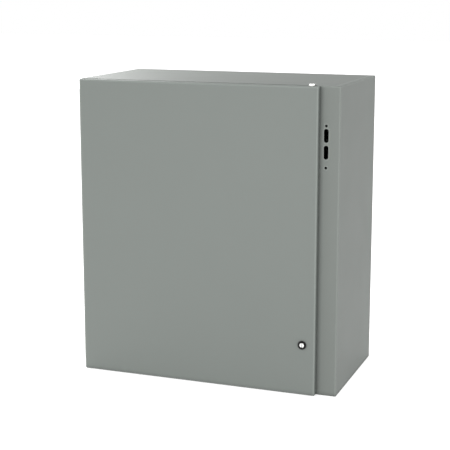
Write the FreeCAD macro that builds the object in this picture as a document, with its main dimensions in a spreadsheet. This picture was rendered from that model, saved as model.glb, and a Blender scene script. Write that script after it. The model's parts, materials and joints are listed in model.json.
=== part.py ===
import FreeCAD, Part
import os
import re
import Sketcher
from FreeCAD import Placement, Rotation, Vector

# An automatic transfer switch in a sheet-steel enclosure with a flange for a disconnect operator.
# Millimetres. X runs to the right, Y from the door to the back, Z up. The origin is at the middle
# of the underside.

driving = {
    # enclosure
    "width": 812.8, "height": 914.4, "depth": 432.8, "door_proud": 20, "sheet_gauge": 2,
    "bend_radius": 3, "corner_return": 14, "flange_face": 22.4, "strip_face": 82.4,
    "flange_rise": 24, "lip_reach": 11.7, "reveal": 1.5, "strip_shown": 60.3,
    "wall_bolt_hole": 11.1, "wall_bolt_inset": 25.4,
    # operator cut-outs in the right-hand flange
    "cutout_inset": 41.3, "cutout_top": 114, "cutout_pitch": 120.65, "cutout_hole": 8,
    "slot_long": 40, "slot_wide": 14, "slot_first": 28, "slot_second": 76.1,
    # door
    "rim_gap": 2, "seal_wide": 12, "seal_thick": 6, "stiffener_wide": 60, "stiffener_deep": 12,
    "stiffener_foot": 14, "stiffener_end": 70, "stiffener_gauge": 1.5, "pocket_wide": 300,
    "pocket_tall": 230, "pocket_deep": 18, "pocket_gauge": 1.5, "pocket_low": 330,
    "pocket_place": -352,
    # hinge
    "pin_radius": 1.6, "knuckle_radius": 3.2, "knuckle_pitch": 50, "knuckle_gap": 0.5,
    "hinge_low": 32, "hinge_offset": 3.7, "leaf_gauge": 1.2, "leaf_wide": 16, "leaf_play": 0.4,
    "axis_ahead": 1, "fit_play": 0.05,
    # quarter-turn latch
    "latch_inset": 39, "latch_up": 154, "latch_head": 12.7, "latch_head_thick": 3,
    "latch_barrel": 10, "latch_long": 17, "latch_face": 6.5, "latch_shaft": 5,
    "latch_slot_wide": 2.4, "latch_slot_deep": 2, "latch_nut_flats": 23, "latch_nut_thick": 4,
    "cam_wide": 20, "cam_thick": 3, "cam_long": 40, "cam_gap": 0.5, "cam_screw": 4.5,
    # seal tabs
    "tab_place": 322, "tab_wide": 16, "tab_rise": 4, "tab_gauge": 1.5, "tab_foot": 9,
    "tab_hole": 1,
    # sub-panel and its studs
    "panel_wide": 685.8, "panel_tall": 787.4, "panel_gauge": 2.5, "panel_ahead": 24.4,
    "stud_inset": 19.05, "stud_radius": 5, "collar_radius": 9, "stud_proud": 16,
    "nut_flats": 16, "nut_thick": 8,
    # transfer switch base and poles
    "base_left": -178, "base_right": 208, "base_low": 236, "base_high": 700, "base_gauge": 15,
    "spacer_gauge": 12, "spacer_radius": 12, "spacer_inset": 30, "pole_pitch": 90,
    "shaft_up": 500, "shaft_ahead": 23, "shaft_radius": 8, "collar_copper": 14,
    "collar_wide": 24, "blade_wide": 18, "blade_thick": 6, "blade_reach": 62, "throw": 30,
    "contact_play": 0.1, "contact_from": 42, "contact_to": 60, "conductor": 6, "bus_wide": 25,
    "bus_step": 40, "lug_wide": 32, "lug_deep": 30, "lug_tall": 40,
    "lug_bore": 10, "lug_screw": 6, "lug_screw_proud": 5, "load_shift": 28, "load_low": 245,
    "load_wide": 20, "saddle_tall": 28, "barrier_gauge": 3, "barrier_deep": 93,
    "barrier_tall": 80, "barrier_hole": 14.5, "chute_wide": 36, "chute_deep": 28,
    "chute_clear": 64, "chute_low": 5, "chute_rise": 60, "chute_shelf": 34, "chute_slot": 3,
    # shaft ends
    "plate_gauge": 4, "plate_offset": 150, "plate_tall": 70, "plate_deep": 45,
    "crank_offset": 158, "crank_gauge": 6, "crank_radius": 30, "crank_boss": 14,
    "crank_end": 9, "crank_pin": 4, "crank_pin_long": 14, "handle_offset": 162,
    "handle_hub": 14, "handle_hub_long": 14, "handle_arm": 6, "handle_reach": 120,
    "grip_radius": 11, "grip_long": 60,
    # solenoid
    "plunger_place": 170, "plunger_radius": 7, "plunger_play": 0.1, "yoke_gauge": 6,
    "yoke_tall": 30, "yoke_deep": 30, "slot_play": 0.5, "yoke_slot_long": 18,
    "coil_low": 374, "coil_high": 436, "coil_radius": 21, "frame_gauge": 4, "frame_wide": 48,
    "plunger_low": 385,
    # controller
    "control_wide": 140, "control_low": 640, "control_high": 816, "control_deep": 70,
    "control_gauge": 3, "screen_wide": 96, "screen_tall": 52, "screen_thick": 2,
    "screen_up": 768, "lamp_up": 720, "button_up": 678,
    "button_radius": 6, "button_pitch": 30, "button_proud": 5,
    "button_flange": 8, "button_flange_thick": 2, "lamp_radius": 4, "lamp_pitch": 20,
    "lamp_proud": 3,
    # relays, terminals and fuses
    "left_column": -262, "relay_wide": 24, "relay_pitch": 30, "socket_tall": 74,
    "socket_deep": 26, "relay_tall": 40, "relay_deep": 42, "relay_up": 590,
    "strip_wide": 34, "strip_deep": 22, "strip_low": 330, "strip_pitch": 18,
    "strip_screw": 3.6, "strip_wall": 2.5, "screw_proud": 2, "fuse_up": 150,
    "fuse_pitch": 32, "fuse_radius": 8, "fuse_long": 52, "fuse_block_wide": 104,
    "fuse_block_tall": 84, "fuse_block_deep": 16, "clip_gauge": 3, "clip_tall": 10,
    "clip_deep": 20,
    # control transformer
    "right_column": 272, "core_wide": 76, "core_tall": 90, "core_deep": 64,
    "core_limb": 19, "winding_deep": 88, "core_up": 600, "winding_play": 1,
    # neutral and ground bars
    "bar_tall": 22, "bar_deep": 12, "bar_stand": 24, "bar_screw_pitch": 16,
    "bar_screw": 4.5, "neutral_up": 420, "neutral_long": 110, "ground_up": 100,
    "ground_long": 220, "stand_radius": 9,
    # wiring loom
    "loom_radius": 5, "loom_bend": 22, "loom_ahead": 12, "loom_aside": 55,
}

derived = {
    "half_width": "width / 2",
    "door_front": "0 - depth / 2",
    "body_front": "door_front + door_proud",
    "body_back": "depth / 2",
    "inner_back": "body_back - sheet_gauge",
    "opening_left": "0 - half_width + flange_face",
    "opening_right": "half_width - strip_face",
    "opening_low": "flange_rise",
    "opening_high": "height - flange_rise",
    "lip_tip": "body_front - lip_reach",
    "door_left": "0 - half_width + reveal",
    "door_right": "half_width - strip_shown",
    "door_low": "reveal",
    "door_high": "height - reveal",
    "door_back": "body_front - rim_gap",
    "door_inside": "door_front + sheet_gauge",
    "axis_across": "0 - half_width - hinge_offset",
    "axis_depth": "body_front - axis_ahead",
    "latch_place": "door_right - latch_inset",
    "panel_front": "inner_back - panel_ahead",
    "panel_low": "height / 2 - panel_tall / 2",
    "panel_back": "panel_front + panel_gauge",
    "stud_across": "panel_wide / 2 - stud_inset",
    "stud_up": "panel_tall / 2 - stud_inset",
    "base_back": "panel_front - spacer_gauge",
    "base_front": "base_back - base_gauge",
    "shaft_depth": "base_front - shaft_ahead",
    "bus_back": "base_front",
    "bus_face": "base_front - conductor",
    "control_front": "panel_front - control_deep",
    "cam_front": "body_front + sheet_gauge + cam_gap",
}

doc = FreeCAD.newDocument("TransferSwitch")
dims = doc.addObject("Spreadsheet::Sheet", "dims")
for row, (alias, number) in enumerate(driving.items(), start=1):
    dims.set("A%d" % row, str(number))
    dims.setAlias("A%d" % row, alias)
doc.recompute()


def formula(text):
    """The sheet's form of a size written with the plain names above."""
    def swap(match):
        word = match.group(0)
        if word in derived:
            return "(" + formula(derived[word]) + ")"
        return "dims." + word if word in driving else word
    return re.sub(r"[a-z_]+", swap, text)


def size(text):
    """The number that a formula gives now."""
    return float(dims.evalExpression(formula(text)))


def bind(item, name, text):
    item.setExpression(name, formula(text))


def place(item, x, y, z):
    for letter, text in zip("xyz", (x, y, z)):
        bind(item, "Placement.Base." + letter, text)


def box(x, y, z):
    """A block between two planes along each axis."""
    item = doc.addObject("Part::Box", "block")
    for name, (low, high) in zip(("Length", "Width", "Height"), (x, y, z)):
        bind(item, name, "(%s) - (%s)" % (high, low))
    place(item, x[0], y[0], z[0])
    return item


AXES = {
    "x": Rotation(Vector(0, 1, 0), 90),
    "y": Rotation(Vector(1, 0, 0), -90),
    "z": Rotation(),
}


def rod(axis, across, along, radius):
    """A round bar along one axis; across holds its place on the other two axes."""
    item = doc.addObject("Part::Cylinder", "bar")
    item.Placement = Placement(Vector(), AXES[axis])
    bind(item, "Radius", radius)
    bind(item, "Height", "(%s) - (%s)" % (along[1], along[0]))
    spot = list(across)
    spot.insert("xyz".index(axis), along[0])
    place(item, *spot)
    return item


def hexagon(axis, across, along, flats):
    """A six-sided bar whose first flat faces sideways."""
    item = doc.addObject("Part::Prism", "hexagon")
    turn = AXES[axis].multiply(Rotation(Vector(0, 0, 1), 30))
    item.Placement = Placement(Vector(), turn)
    item.Polygon = 6
    bind(item, "Circumradius", "(%s) / 2 / cos(30 deg)" % flats)
    bind(item, "Height", "(%s) - (%s)" % (along[1], along[0]))
    spot = list(across)
    spot.insert("xyz".index(axis), along[0])
    place(item, *spot)
    return item


def fuse(*items):
    joined = doc.addObject("Part::MultiFuse", "joined")
    joined.Shapes = list(items)
    joined.Refine = True
    return joined


def cut(base, *tools):
    result = doc.addObject("Part::Cut", "cut")
    result.Base = base
    result.Tool = tools[0] if len(tools) == 1 else fuse(*tools)
    return result


def common(first, second):
    result = doc.addObject("Part::Common", "shared")
    result.Base = first
    result.Tool = second
    return result


def group(items):
    """Separate solids that share one node."""
    result = doc.addObject("Part::Compound", "group")
    result.Links = list(items)
    return result


nodes = []


def node(label, item):
    item.Label = label
    nodes.append(item)
    return item


def sketch(body, plane, outline, offset):
    """A closed outline of straight lines on one of the body's own planes."""
    support = [part for part in body.Origin.OriginFeatures if part.Role == plane][0]
    drawing = body.newObject("Sketcher::SketchObject", "outline")
    drawing.AttachmentSupport = (support, [""])
    drawing.MapMode = "FlatFace"
    bind(drawing, "AttachmentOffset.Base.z", offset)
    count = len(outline)
    spots = [Vector(size(u), size(v), 0) for u, v in outline]
    for index in range(count):
        line = Part.LineSegment(spots[index], spots[(index + 1) % count])
        drawing.addGeometry(line)
    for index in range(count):
        following = (index + 1) % count
        drawing.addConstraint(Sketcher.Constraint("Coincident", index, 2, following, 1))
    for index, (u, v) in enumerate(outline):
        for kind, text in (("DistanceX", u), ("DistanceY", v)):
            rule = Sketcher.Constraint(kind, -1, 1, index, 1, size(text))
            number = drawing.addConstraint(rule)
            bind(drawing, "Constraints[%d]" % number, text)
    return drawing


def prism(plane, outline, span):
    """A body padded from an outline; span is its low and high end along the plane's axis."""
    body = doc.addObject("PartDesign::Body", "body")
    low, high = span
    offset = "0 - (%s)" % high if plane == "XZ_Plane" else low
    pad = body.newObject("PartDesign::Pad", "pad")
    pad.Profile = sketch(body, plane, outline, offset)
    bind(pad, "Length", "(%s) - (%s)" % (high, low))
    doc.recompute()
    return body


def round_edges(body, radius, chosen):
    """Fillets the edges of the body that the test picks."""
    base = body.Tip
    names = ["Edge%d" % (index + 1) for index, edge in enumerate(base.Shape.Edges) if chosen(edge)]
    bend = body.newObject("PartDesign::Fillet", "bend")
    bend.Base = (base, names)
    bind(bend, "Radius", radius)
    doc.recompute()
    return body


def pocket(body, plane, outline, span):
    """Cuts an outline out of a body between two planes."""
    low, high = span
    offset = "0 - (%s)" % low if plane == "XZ_Plane" else high
    before = body.Shape.Volume
    hollow = body.newObject("PartDesign::Pocket", "hollow")
    hollow.Profile = sketch(body, plane, outline, offset)
    bind(hollow, "Length", "(%s) - (%s)" % (high, low))
    doc.recompute()
    if body.Shape.Volume > before - 1:
        raise RuntimeError("a pocket in %s cut nothing" % body.Label)
    return body


def rectangle(u, v):
    return [(u[0], v[0]), (u[1], v[0]), (u[1], v[1]), (u[0], v[1])]


def every_edge(edge):
    return True


def lies_at(edge, axis, text):
    """True where the whole edge lies in the plane across the axis."""
    reach = [getattr(vertex.Point, axis) for vertex in edge.Vertexes]
    return all(abs(value - size(text)) < 0.01 for value in reach)


# ---- enclosure walls: one bent and welded shell, kept as the sheets it is made of ----

def shell_block(inset, radius):
    """A rounded block as large as the enclosure body, less an inset on every side."""
    outline = rectangle(
        ("0 - half_width + " + inset, "half_width - " + inset),
        ("body_front + " + inset, "body_back - " + inset),
    )
    block = prism("XY_Plane", outline, (inset, "height - " + inset))
    return round_edges(block, radius, every_edge)


def enclosure_shell():
    solid = shell_block("0", "bend_radius")
    hollow = shell_block("sheet_gauge", "bend_radius - sheet_gauge")
    opening = box(
        ("opening_left", "opening_right"),
        ("body_front - sheet_gauge", "body_front + sheet_gauge * 2"),
        ("opening_low", "opening_high"),
    )
    return cut(solid, hollow, opening)


def side_region(side_plane, return_plane, flange_plane):
    """The corner that belongs to a side sheet, with its front flange."""
    low_z, high_z = "0 - reveal", "height + reveal"
    side = box(
        (side_plane, return_plane), ("body_front - reveal", "body_back + reveal"), (low_z, high_z))
    flange = box(
        (side_plane, flange_plane),
        ("body_front - reveal", "body_front + sheet_gauge"),
        (low_z, high_z),
    )
    return fuse(side, flange)


def slot_tool(up):
    """The cutter for one upright slot of the operator flange."""
    across = "half_width - cutout_inset"
    depth = ("body_front - reveal", "body_front + sheet_gauge + reveal")
    straight = "(slot_long - slot_wide) / 2"
    middle = box(
        (across + " - slot_wide / 2", across + " + slot_wide / 2"),
        depth,
        (up + " - " + straight, up + " + " + straight),
    )
    low_end = rod("y", (across, up + " - " + straight), depth, "slot_wide / 2")
    high_end = rod("y", (across, up + " + " + straight), depth, "slot_wide / 2")
    return fuse(middle, low_end, high_end)


def operator_cutouts():
    across = "half_width - cutout_inset"
    depth = ("body_front - reveal", "body_front + sheet_gauge + reveal")
    tools = []
    for below in ("cutout_top", "cutout_top + cutout_pitch"):
        tools.append(rod("y", (across, "height - (%s)" % below), depth, "cutout_hole / 2"))
    for below in ("slot_first", "slot_second"):
        tools.append(slot_tool("height - cutout_top - " + below))
    return tools


def enclosure_walls():
    shell = enclosure_shell()
    left = side_region("0 - half_width - reveal", "0 - half_width + corner_return", "opening_left")
    right_side = box(
        ("half_width - corner_return", "half_width + reveal"),
        ("body_front - reveal", "body_back + reveal"),
        ("0 - reveal", "height + reveal"),
    )
    right_flange = box(
        ("opening_right", "half_width + reveal"),
        ("body_front - reveal", "body_front + sheet_gauge"),
        ("0 - reveal", "height + reveal"),
    )
    right = fuse(right_side, right_flange)
    lip_depth = ("lip_tip", "body_front + sheet_gauge / 2")
    lip_span = ("opening_low - sheet_gauge", "opening_high + sheet_gauge")
    left_lip = box(("opening_left - sheet_gauge", "opening_left"), lip_depth, lip_span)
    right_lip = box(("opening_right", "opening_right + sheet_gauge"), lip_depth, lip_span)
    node("left_side_wall", fuse(common(shell, left), left_lip))
    right_wall = fuse(common(shell, right), right_lip)
    node("right_side_wall", cut(right_wall, *operator_cutouts()))
    middle = cut(shell, left, right)
    back_region = box(
        ("0 - half_width", "half_width"),
        ("inner_back - sheet_gauge / 2", "body_back + reveal"),
        ("corner_return", "height - corner_return"),
    )
    holes = []
    for across in ("wall_bolt_inset - half_width", "half_width - wall_bolt_inset"):
        for up in ("wall_bolt_inset", "height - wall_bolt_inset"):
            depth = ("inner_back - reveal", "body_back + reveal")
            holes.append(rod("y", (across, up), depth, "wall_bolt_hole / 2"))
    node("back_wall", cut(common(middle, back_region), *holes))
    lip_across = ("opening_left", "opening_right")
    spans = {
        "top_wall": ("height / 2", "height + reveal"),
        "bottom_wall": ("0 - reveal", "height / 2"),
    }
    lips = {
        "top_wall": ("opening_high", "opening_high + sheet_gauge"),
        "bottom_wall": ("opening_low - sheet_gauge", "opening_low"),
    }
    for label, span in spans.items():
        half = box(
            ("0 - half_width", "half_width"), ("body_front - reveal", "body_back + reveal"), span)
        sheet = cut(common(middle, half), back_region)
        node(label, fuse(sheet, box(lip_across, lip_depth, lips[label])))


# ---- hinge: a continuous piano hinge outside the left edge of the door ----

def knuckle(index):
    """One barrel of the hinge, counted from the bottom."""
    low = "hinge_low + %d * knuckle_pitch" % index
    span = (low, low + " + knuckle_pitch - knuckle_gap")
    return rod("z", ("axis_across", "axis_depth"), span, "knuckle_radius"), span


def pin_bore():
    span = ("0", "height")
    return rod("z", ("axis_across", "axis_depth"), span, "pin_radius + fit_play")


KNUCKLES = 17


def hinge():
    top = "hinge_low + %d * knuckle_pitch" % KNUCKLES
    span = ("hinge_low", top + " - knuckle_gap")
    edge = "axis_across + knuckle_radius + leaf_play"
    body_leaf = [box((edge, edge + " + leaf_wide"), ("body_front - leaf_gauge", "body_front"), span)]
    door_leaf = [box(("door_left - leaf_gauge", "door_left"),
                     ("door_front + bend_radius", "door_back"), span)]
    for index in range(KNUCKLES):
        barrel, reach = knuckle(index)
        if index % 2:
            web = box(
                ("axis_across", "door_left"),
                ("axis_depth - knuckle_radius", "axis_depth - knuckle_radius + leaf_gauge"),
                reach,
            )
            door_leaf += [barrel, web]
        else:
            web = box(
                ("axis_across", edge + " + leaf_gauge"),
                ("body_front - leaf_gauge", "body_front"),
                reach,
            )
            body_leaf += [barrel, web]
    node("hinge_body_leaf", cut(fuse(*body_leaf), pin_bore()))
    node("hinge_door_leaf", cut(fuse(*door_leaf), pin_bore()))
    node("hinge_pin", rod("z", ("axis_across", "axis_depth"), span, "pin_radius"))


# ---- door ----

def door_pan():
    outline = rectangle(("door_left", "door_right"), ("door_low", "door_high"))
    pan = prism("XZ_Plane", outline, ("door_front", "door_back"))
    round_edges(pan, "bend_radius", lambda edge: not lies_at(edge, "y", "door_back"))
    inner = rectangle(
        ("door_left + sheet_gauge", "door_right - sheet_gauge"),
        ("door_low + sheet_gauge", "door_high - sheet_gauge"),
    )
    pocket(pan, "XZ_Plane", inner, ("door_inside", "door_back"))
    hole = rod("y", ("latch_place", "latch_up"), ("door_front", "door_back"), "latch_barrel")
    node("door_pan", cut(pan, hole))


def frame_ring(x, y, z, wide):
    """A rectangular ring in the door's plane, centred on the given edges."""
    outside = box(
        (x[0] + " - " + wide, x[1] + " + " + wide), y, (z[0] + " - " + wide, z[1] + " + " + wide))
    inside = box(
        (x[0] + " + " + wide, x[1] + " - " + wide), y, (z[0] + " + " + wide, z[1] + " - " + wide))
    return cut(outside, inside)


def door_fittings():
    node("door_gasket", frame_ring(
        ("opening_left - sheet_gauge / 2", "opening_right + sheet_gauge / 2"),
        ("door_inside", "door_inside + seal_thick"),
        ("opening_low - sheet_gauge / 2", "opening_high + sheet_gauge / 2"),
        "seal_wide / 2",
    ))
    half = "stiffener_wide / 2"
    gauge = "stiffener_gauge"
    outline = [
        ("0 - %s - stiffener_foot" % half, "door_inside"),
        ("0 - %s + %s" % (half, gauge), "door_inside"),
        ("0 - %s + %s" % (half, gauge), "door_inside + stiffener_deep - " + gauge),
        ("%s - %s" % (half, gauge), "door_inside + stiffener_deep - " + gauge),
        ("%s - %s" % (half, gauge), "door_inside"),
        ("%s + stiffener_foot" % half, "door_inside"),
        ("%s + stiffener_foot" % half, "door_inside + " + gauge),
        (half, "door_inside + " + gauge),
        (half, "door_inside + stiffener_deep"),
        ("0 - " + half, "door_inside + stiffener_deep"),
        ("0 - " + half, "door_inside + " + gauge),
        ("0 - %s - stiffener_foot" % half, "door_inside + " + gauge),
    ]
    stiffener = prism("XY_Plane", outline, ("stiffener_end", "height - stiffener_end"))
    node("door_stiffener", stiffener)
    low, high = "pocket_low", "pocket_low + pocket_tall"
    left, right = "pocket_place", "pocket_place + pocket_wide"
    depth = ("door_inside", "door_inside + pocket_deep")
    tray = box((left, right), depth, (low, high))
    hollow = box(
        (left + " + pocket_gauge", right + " - pocket_gauge"),
        ("door_inside + pocket_gauge", depth[1] + " - pocket_gauge"),
        (low + " + pocket_gauge", high + " + pocket_gauge"),
    )
    node("data_pocket", cut(tray, hollow))


def seal_tab(back, foot, level):
    """A bent tab with a hole for a wire seal."""
    across = ("tab_place - tab_wide / 2", "tab_place + tab_wide / 2")
    front = back + " - tab_gauge"
    top = "height + tab_rise"
    upright = box(across, (front, back), (level, top))
    base = box(across, foot, (level, level + " + tab_gauge"))
    hole = rod(
        "y", ("tab_place", top + " - tab_hole * 2"), (front + " - reveal", back + " + reveal"),
        "tab_hole")
    return cut(fuse(upright, base), hole)


def seal_tabs():
    back = "door_back"
    node("door_seal_tab", seal_tab(back, (back + " - tab_foot", back), "door_high"))
    level = "height"
    front = "body_front + bend_radius"
    node("body_seal_tab", seal_tab(
        front + " + tab_gauge", (front, front + " + tab_foot"), level))


# ---- quarter-turn latch ----

def latch():
    centre = ("latch_place", "latch_up")
    front = "door_front - latch_head_thick"
    head = rod("y", centre, (front, "door_front"), "latch_head")
    barrel = rod("y", centre, ("door_front", "door_front + latch_long"), "latch_barrel - fit_play")
    well = rod("y", centre, (front, "door_front"), "latch_face + fit_play")
    bore = rod("y", centre, (front, "door_front + latch_long"), "latch_shaft + fit_play")
    node("latch_housing", cut(fuse(head, barrel), well, bore))
    span = ("door_inside", "door_inside + latch_nut_thick")
    nut = hexagon("y", centre, span, "latch_nut_flats")
    node("latch_nut", cut(nut, rod("y", centre, span, "latch_barrel")))
    face = rod("y", centre, (front, "door_front"), "latch_face")
    shaft = rod("y", centre, ("door_front", "cam_front"), "latch_shaft")
    screw = hexagon("y", centre, ("cam_front + cam_thick", "cam_front + cam_thick * 2"),
                    "cam_screw * 2")
    slot = box(
        ("latch_place - latch_slot_wide / 2", "latch_place + latch_slot_wide / 2"),
        (front, front + " + latch_slot_deep"),
        ("latch_up - latch_face", "latch_up + latch_face"),
    )
    tang = box(
        ("latch_place - latch_shaft / 2", "latch_place + latch_shaft / 2"),
        ("cam_front", "cam_front + cam_thick"),
        ("latch_up - latch_shaft / 2", "latch_up + latch_shaft / 2"),
    )
    node("latch_spindle", cut(fuse(face, shaft, screw, tang), slot))
    depth = ("cam_front", "cam_front + cam_thick")
    arm = box(
        ("latch_place - cam_wide / 2", "latch_place + cam_wide / 2"),
        depth,
        ("latch_up - cam_long + cam_wide / 2", "latch_up"),
    )
    root = rod("y", centre, depth, "cam_wide / 2")
    tip = rod("y", ("latch_place", "latch_up - cam_long + cam_wide / 2"), depth, "cam_wide / 2")
    window = box(
        ("latch_place - latch_shaft / 2", "latch_place + latch_shaft / 2"),
        depth,
        ("latch_up - latch_shaft / 2", "latch_up + latch_shaft / 2"),
    )
    node("latch_cam", cut(fuse(arm, root, tip), window))


# ---- sub-panel on its collar studs ----

def subpanel():
    low, high = "panel_low", "height - panel_low"
    plate = prism(
        "XZ_Plane", rectangle(("0 - panel_wide / 2", "panel_wide / 2"), (low, high)),
        ("panel_front", "panel_back"))
    round_edges(plate, "corner_return / 2",
                lambda edge: abs(edge.tangentAt(edge.FirstParameter).y) > 0.9)
    holes, studs, nuts = [], [], []
    for side in ("0 - stud_across", "stud_across"):
        for up in ("height / 2 - stud_up", "height / 2 + stud_up"):
            centre = (side, up)
            holes.append(rod("y", centre, ("panel_front", "panel_back"), "stud_radius + fit_play"))
            stem = rod("y", centre, ("panel_front - stud_proud", "inner_back"), "stud_radius")
            collar = rod("y", centre, ("panel_back", "inner_back"), "collar_radius")
            studs.append(fuse(stem, collar))
            span = ("panel_front - nut_thick", "panel_front")
            nut = hexagon("y", centre, span, "nut_flats")
            nuts.append(cut(nut, rod("y", centre, span, "stud_radius")))
    node("subpanel", cut(plate, *holes))
    node("panel_studs", group(studs))
    node("panel_nuts", group(nuts))


# ---- transfer switch: base, conductors, contacts ----

POLES = (-1, 0, 1)


def pole_place(pole):
    return "%d * pole_pitch" % pole


def across_pole(pole, wide):
    middle = pole_place(pole)
    return ("%s - %s / 2" % (middle, wide), "%s + %s / 2" % (middle, wide))


def switch_base():
    plate = prism(
        "XZ_Plane", rectangle(("base_left", "base_right"), ("base_low", "base_high")),
        ("base_front", "base_back"))
    round_edges(plate, "corner_return / 2",
                lambda edge: abs(edge.tangentAt(edge.FirstParameter).y) > 0.9)
    node("switch_base", plate)
    spacers = []
    for side in ("base_left + spacer_inset", "base_right - spacer_inset"):
        for up in ("base_low + spacer_inset", "base_high - spacer_inset"):
            spacers.append(rod("y", (side, up), ("base_back", "panel_front"), "spacer_radius"))
    node("base_spacers", group(spacers))


def flip(text):
    """The height that mirrors another about the shaft."""
    return "2 * shaft_up - (%s)" % text


def upright(low, high, up):
    """A span above the shaft, or its mirror below."""
    return (low, high) if up else (flip(high), flip(low))


SWING = "(throw * 1 deg)"


def contact_spot(reach, rise):
    """Where a point of the raised blade lies, as depth and height."""
    depth = "shaft_depth - (%s) * cos%s + (%s) * sin%s" % (reach, SWING, rise, SWING)
    height = "shaft_up + (%s) * sin%s + (%s) * cos%s" % (reach, SWING, rise, SWING)
    return depth, height


def source_side(name, up):
    """Bus bars, lugs, arc chutes and fixed contacts of one source; up is the normal source."""
    bars, lugs, chutes, contacts, screws = [], [], [], [], []
    shelf = ("shaft_up + bus_step", "shaft_up + bus_step + conductor")
    far = "base_high - corner_return"
    rise = "blade_thick / 2 + contact_play"
    near_spot = contact_spot("contact_from", rise)
    far_spot = contact_spot("contact_to", rise)
    for pole in POLES:
        wide = across_pole(pole, "bus_wide")
        riser = box(wide, ("bus_face", "bus_back"), upright(shelf[0], far, up))
        ledge = box(wide, ("shaft_depth - contact_to", "bus_face"), upright(*shelf, up))
        bars.append(fuse(riser, ledge))
        outline = [far_spot, near_spot, (near_spot[0], shelf[0]), (far_spot[0], shelf[0])]
        if not up:
            outline = [(depth, flip(height)) for depth, height in outline]
        contacts.append(prism("YZ_Plane", outline, across_pole(pole, "blade_wide")))
        lug_span = upright(far + " - lug_tall", far, up)
        lug_depth = ("bus_face - lug_deep", "bus_face")
        block = box(across_pole(pole, "lug_wide"), lug_depth, lug_span)
        middle = "bus_face - lug_deep / 2"
        bore = rod("z", (pole_place(pole), middle), lug_span, "lug_bore")
        screw_up = "(%s + %s) / 2" % lug_span
        front = lug_depth[0]
        thread = rod("y", (pole_place(pole), screw_up), (front, middle), "lug_screw")
        lugs.append(cut(block, bore, thread))
        screw = rod("y", (pole_place(pole), screw_up),
                    (front + " - lug_screw_proud", front + " + lug_screw_proud / 2"), "lug_screw")
        key = hexagon("y", (pole_place(pole), screw_up),
                      (front + " - lug_screw_proud", front + " - lug_screw_proud / 4"),
                      "lug_screw")
        screws.append(cut(screw, key))
        shell_span = upright("shaft_up + chute_low", "shaft_up + chute_rise", up)
        cap_span = upright(shelf[1], "shaft_up + chute_rise", up)
        chute_front = "shaft_depth - chute_clear - chute_deep"
        chute_back = "shaft_depth - chute_clear"
        stack = box(across_pole(pole, "chute_wide"), (chute_front, chute_back), shell_span)
        cap = box(across_pole(pole, "chute_wide"), (chute_back, chute_back + " + chute_shelf"),
                  cap_span)
        vents = []
        for step in range(5):
            low = "shaft_up + chute_low * 2 + %d * chute_slot * 3" % step
            vents.append(box(
                across_pole(pole, "(chute_wide - chute_slot * 2)"),
                (chute_front, chute_front + " + chute_deep / 2"),
                upright(low, low + " + chute_slot", up)))
        chutes.append(cut(fuse(stack, cap), *vents))
    node(name + "_bus_bars", group(bars))
    node(name + "_lugs", group(lugs))
    return chutes, contacts, screws


def load_side():
    """Load bars run from the saddles behind the shaft down to the lowest lugs."""
    bars, lugs, screws = [], [], []
    for pole in POLES:
        middle = "%s + load_shift" % pole_place(pole)
        wide = (middle + " - load_wide / 2", middle + " + load_wide / 2")
        drop = box(wide, ("bus_face", "bus_back"), ("load_low", "shaft_up + saddle_tall / 2"))
        centre = ("shaft_up - saddle_tall / 2", "shaft_up + saddle_tall / 2")
        cross = box((pole_place(pole) + " - collar_wide / 2", middle), ("bus_face", "bus_back"),
                    centre)
        block = box(across_pole(pole, "collar_wide"), ("shaft_depth", "bus_face"), centre)
        groove = rod("x", ("shaft_depth", "shaft_up"), across_pole(pole, "collar_wide"),
                     "collar_copper + contact_play")
        bars.append(cut(fuse(drop, cross, block), groove))
        lug_depth = ("bus_face - lug_deep", "bus_face")
        lug_across = (middle + " - lug_wide / 2", middle + " + lug_wide / 2")
        span = ("load_low", "load_low + lug_tall")
        lug = box(lug_across, lug_depth, span)
        centre_depth = "bus_face - lug_deep / 2"
        screw_up = "load_low + lug_tall / 2"
        bore = rod("z", (middle, centre_depth), span, "lug_bore")
        thread = rod("y", (middle, screw_up), (lug_depth[0], centre_depth), "lug_screw")
        lugs.append(cut(lug, bore, thread))
        screw = rod("y", (middle, screw_up),
                    (lug_depth[0] + " - lug_screw_proud", lug_depth[0] + " + lug_screw_proud / 2"),
                    "lug_screw")
        key = hexagon("y", (middle, screw_up),
                      (lug_depth[0] + " - lug_screw_proud", lug_depth[0] + " - lug_screw_proud / 4"),
                      "lug_screw")
        screws.append(cut(screw, key))
    node("load_bus_bars", group(bars))
    node("load_lugs", group(lugs))
    return screws


def phase_barriers():
    plates = []
    for half in (-3, -1, 1, 3):
        middle = "%d * pole_pitch / 2" % half
        across = (middle + " - barrier_gauge / 2", middle + " + barrier_gauge / 2")
        plate = box(across, ("base_front - barrier_deep", "base_front"),
                    ("shaft_up - barrier_tall", "shaft_up + barrier_tall"))
        hole = rod("x", ("shaft_depth", "shaft_up"), across, "barrier_hole")
        plates.append(cut(plate, hole))
    node("phase_barriers", group(plates))


def shaft_plates():
    plates = []
    for low in ("0 - plate_offset", "plate_offset - plate_gauge"):
        across = (low, low + " + plate_gauge")
        plate = box(across, ("base_front - plate_deep", "base_front"),
                    ("shaft_up - plate_tall / 2", "shaft_up + plate_tall / 2"))
        hole = rod("x", ("shaft_depth", "shaft_up"), across, "shaft_radius + fit_play")
        plates.append(cut(plate, hole))
    node("shaft_bearing_plates", group(plates))


def arm_outline(root, tip, reach):
    """A tapered arm from the shaft out along the raised blade, as depth and height."""
    return [
        contact_spot("0", "0 - " + root),
        contact_spot(reach, "0 - " + tip),
        contact_spot(reach, tip),
        contact_spot("0", root),
    ]


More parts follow.
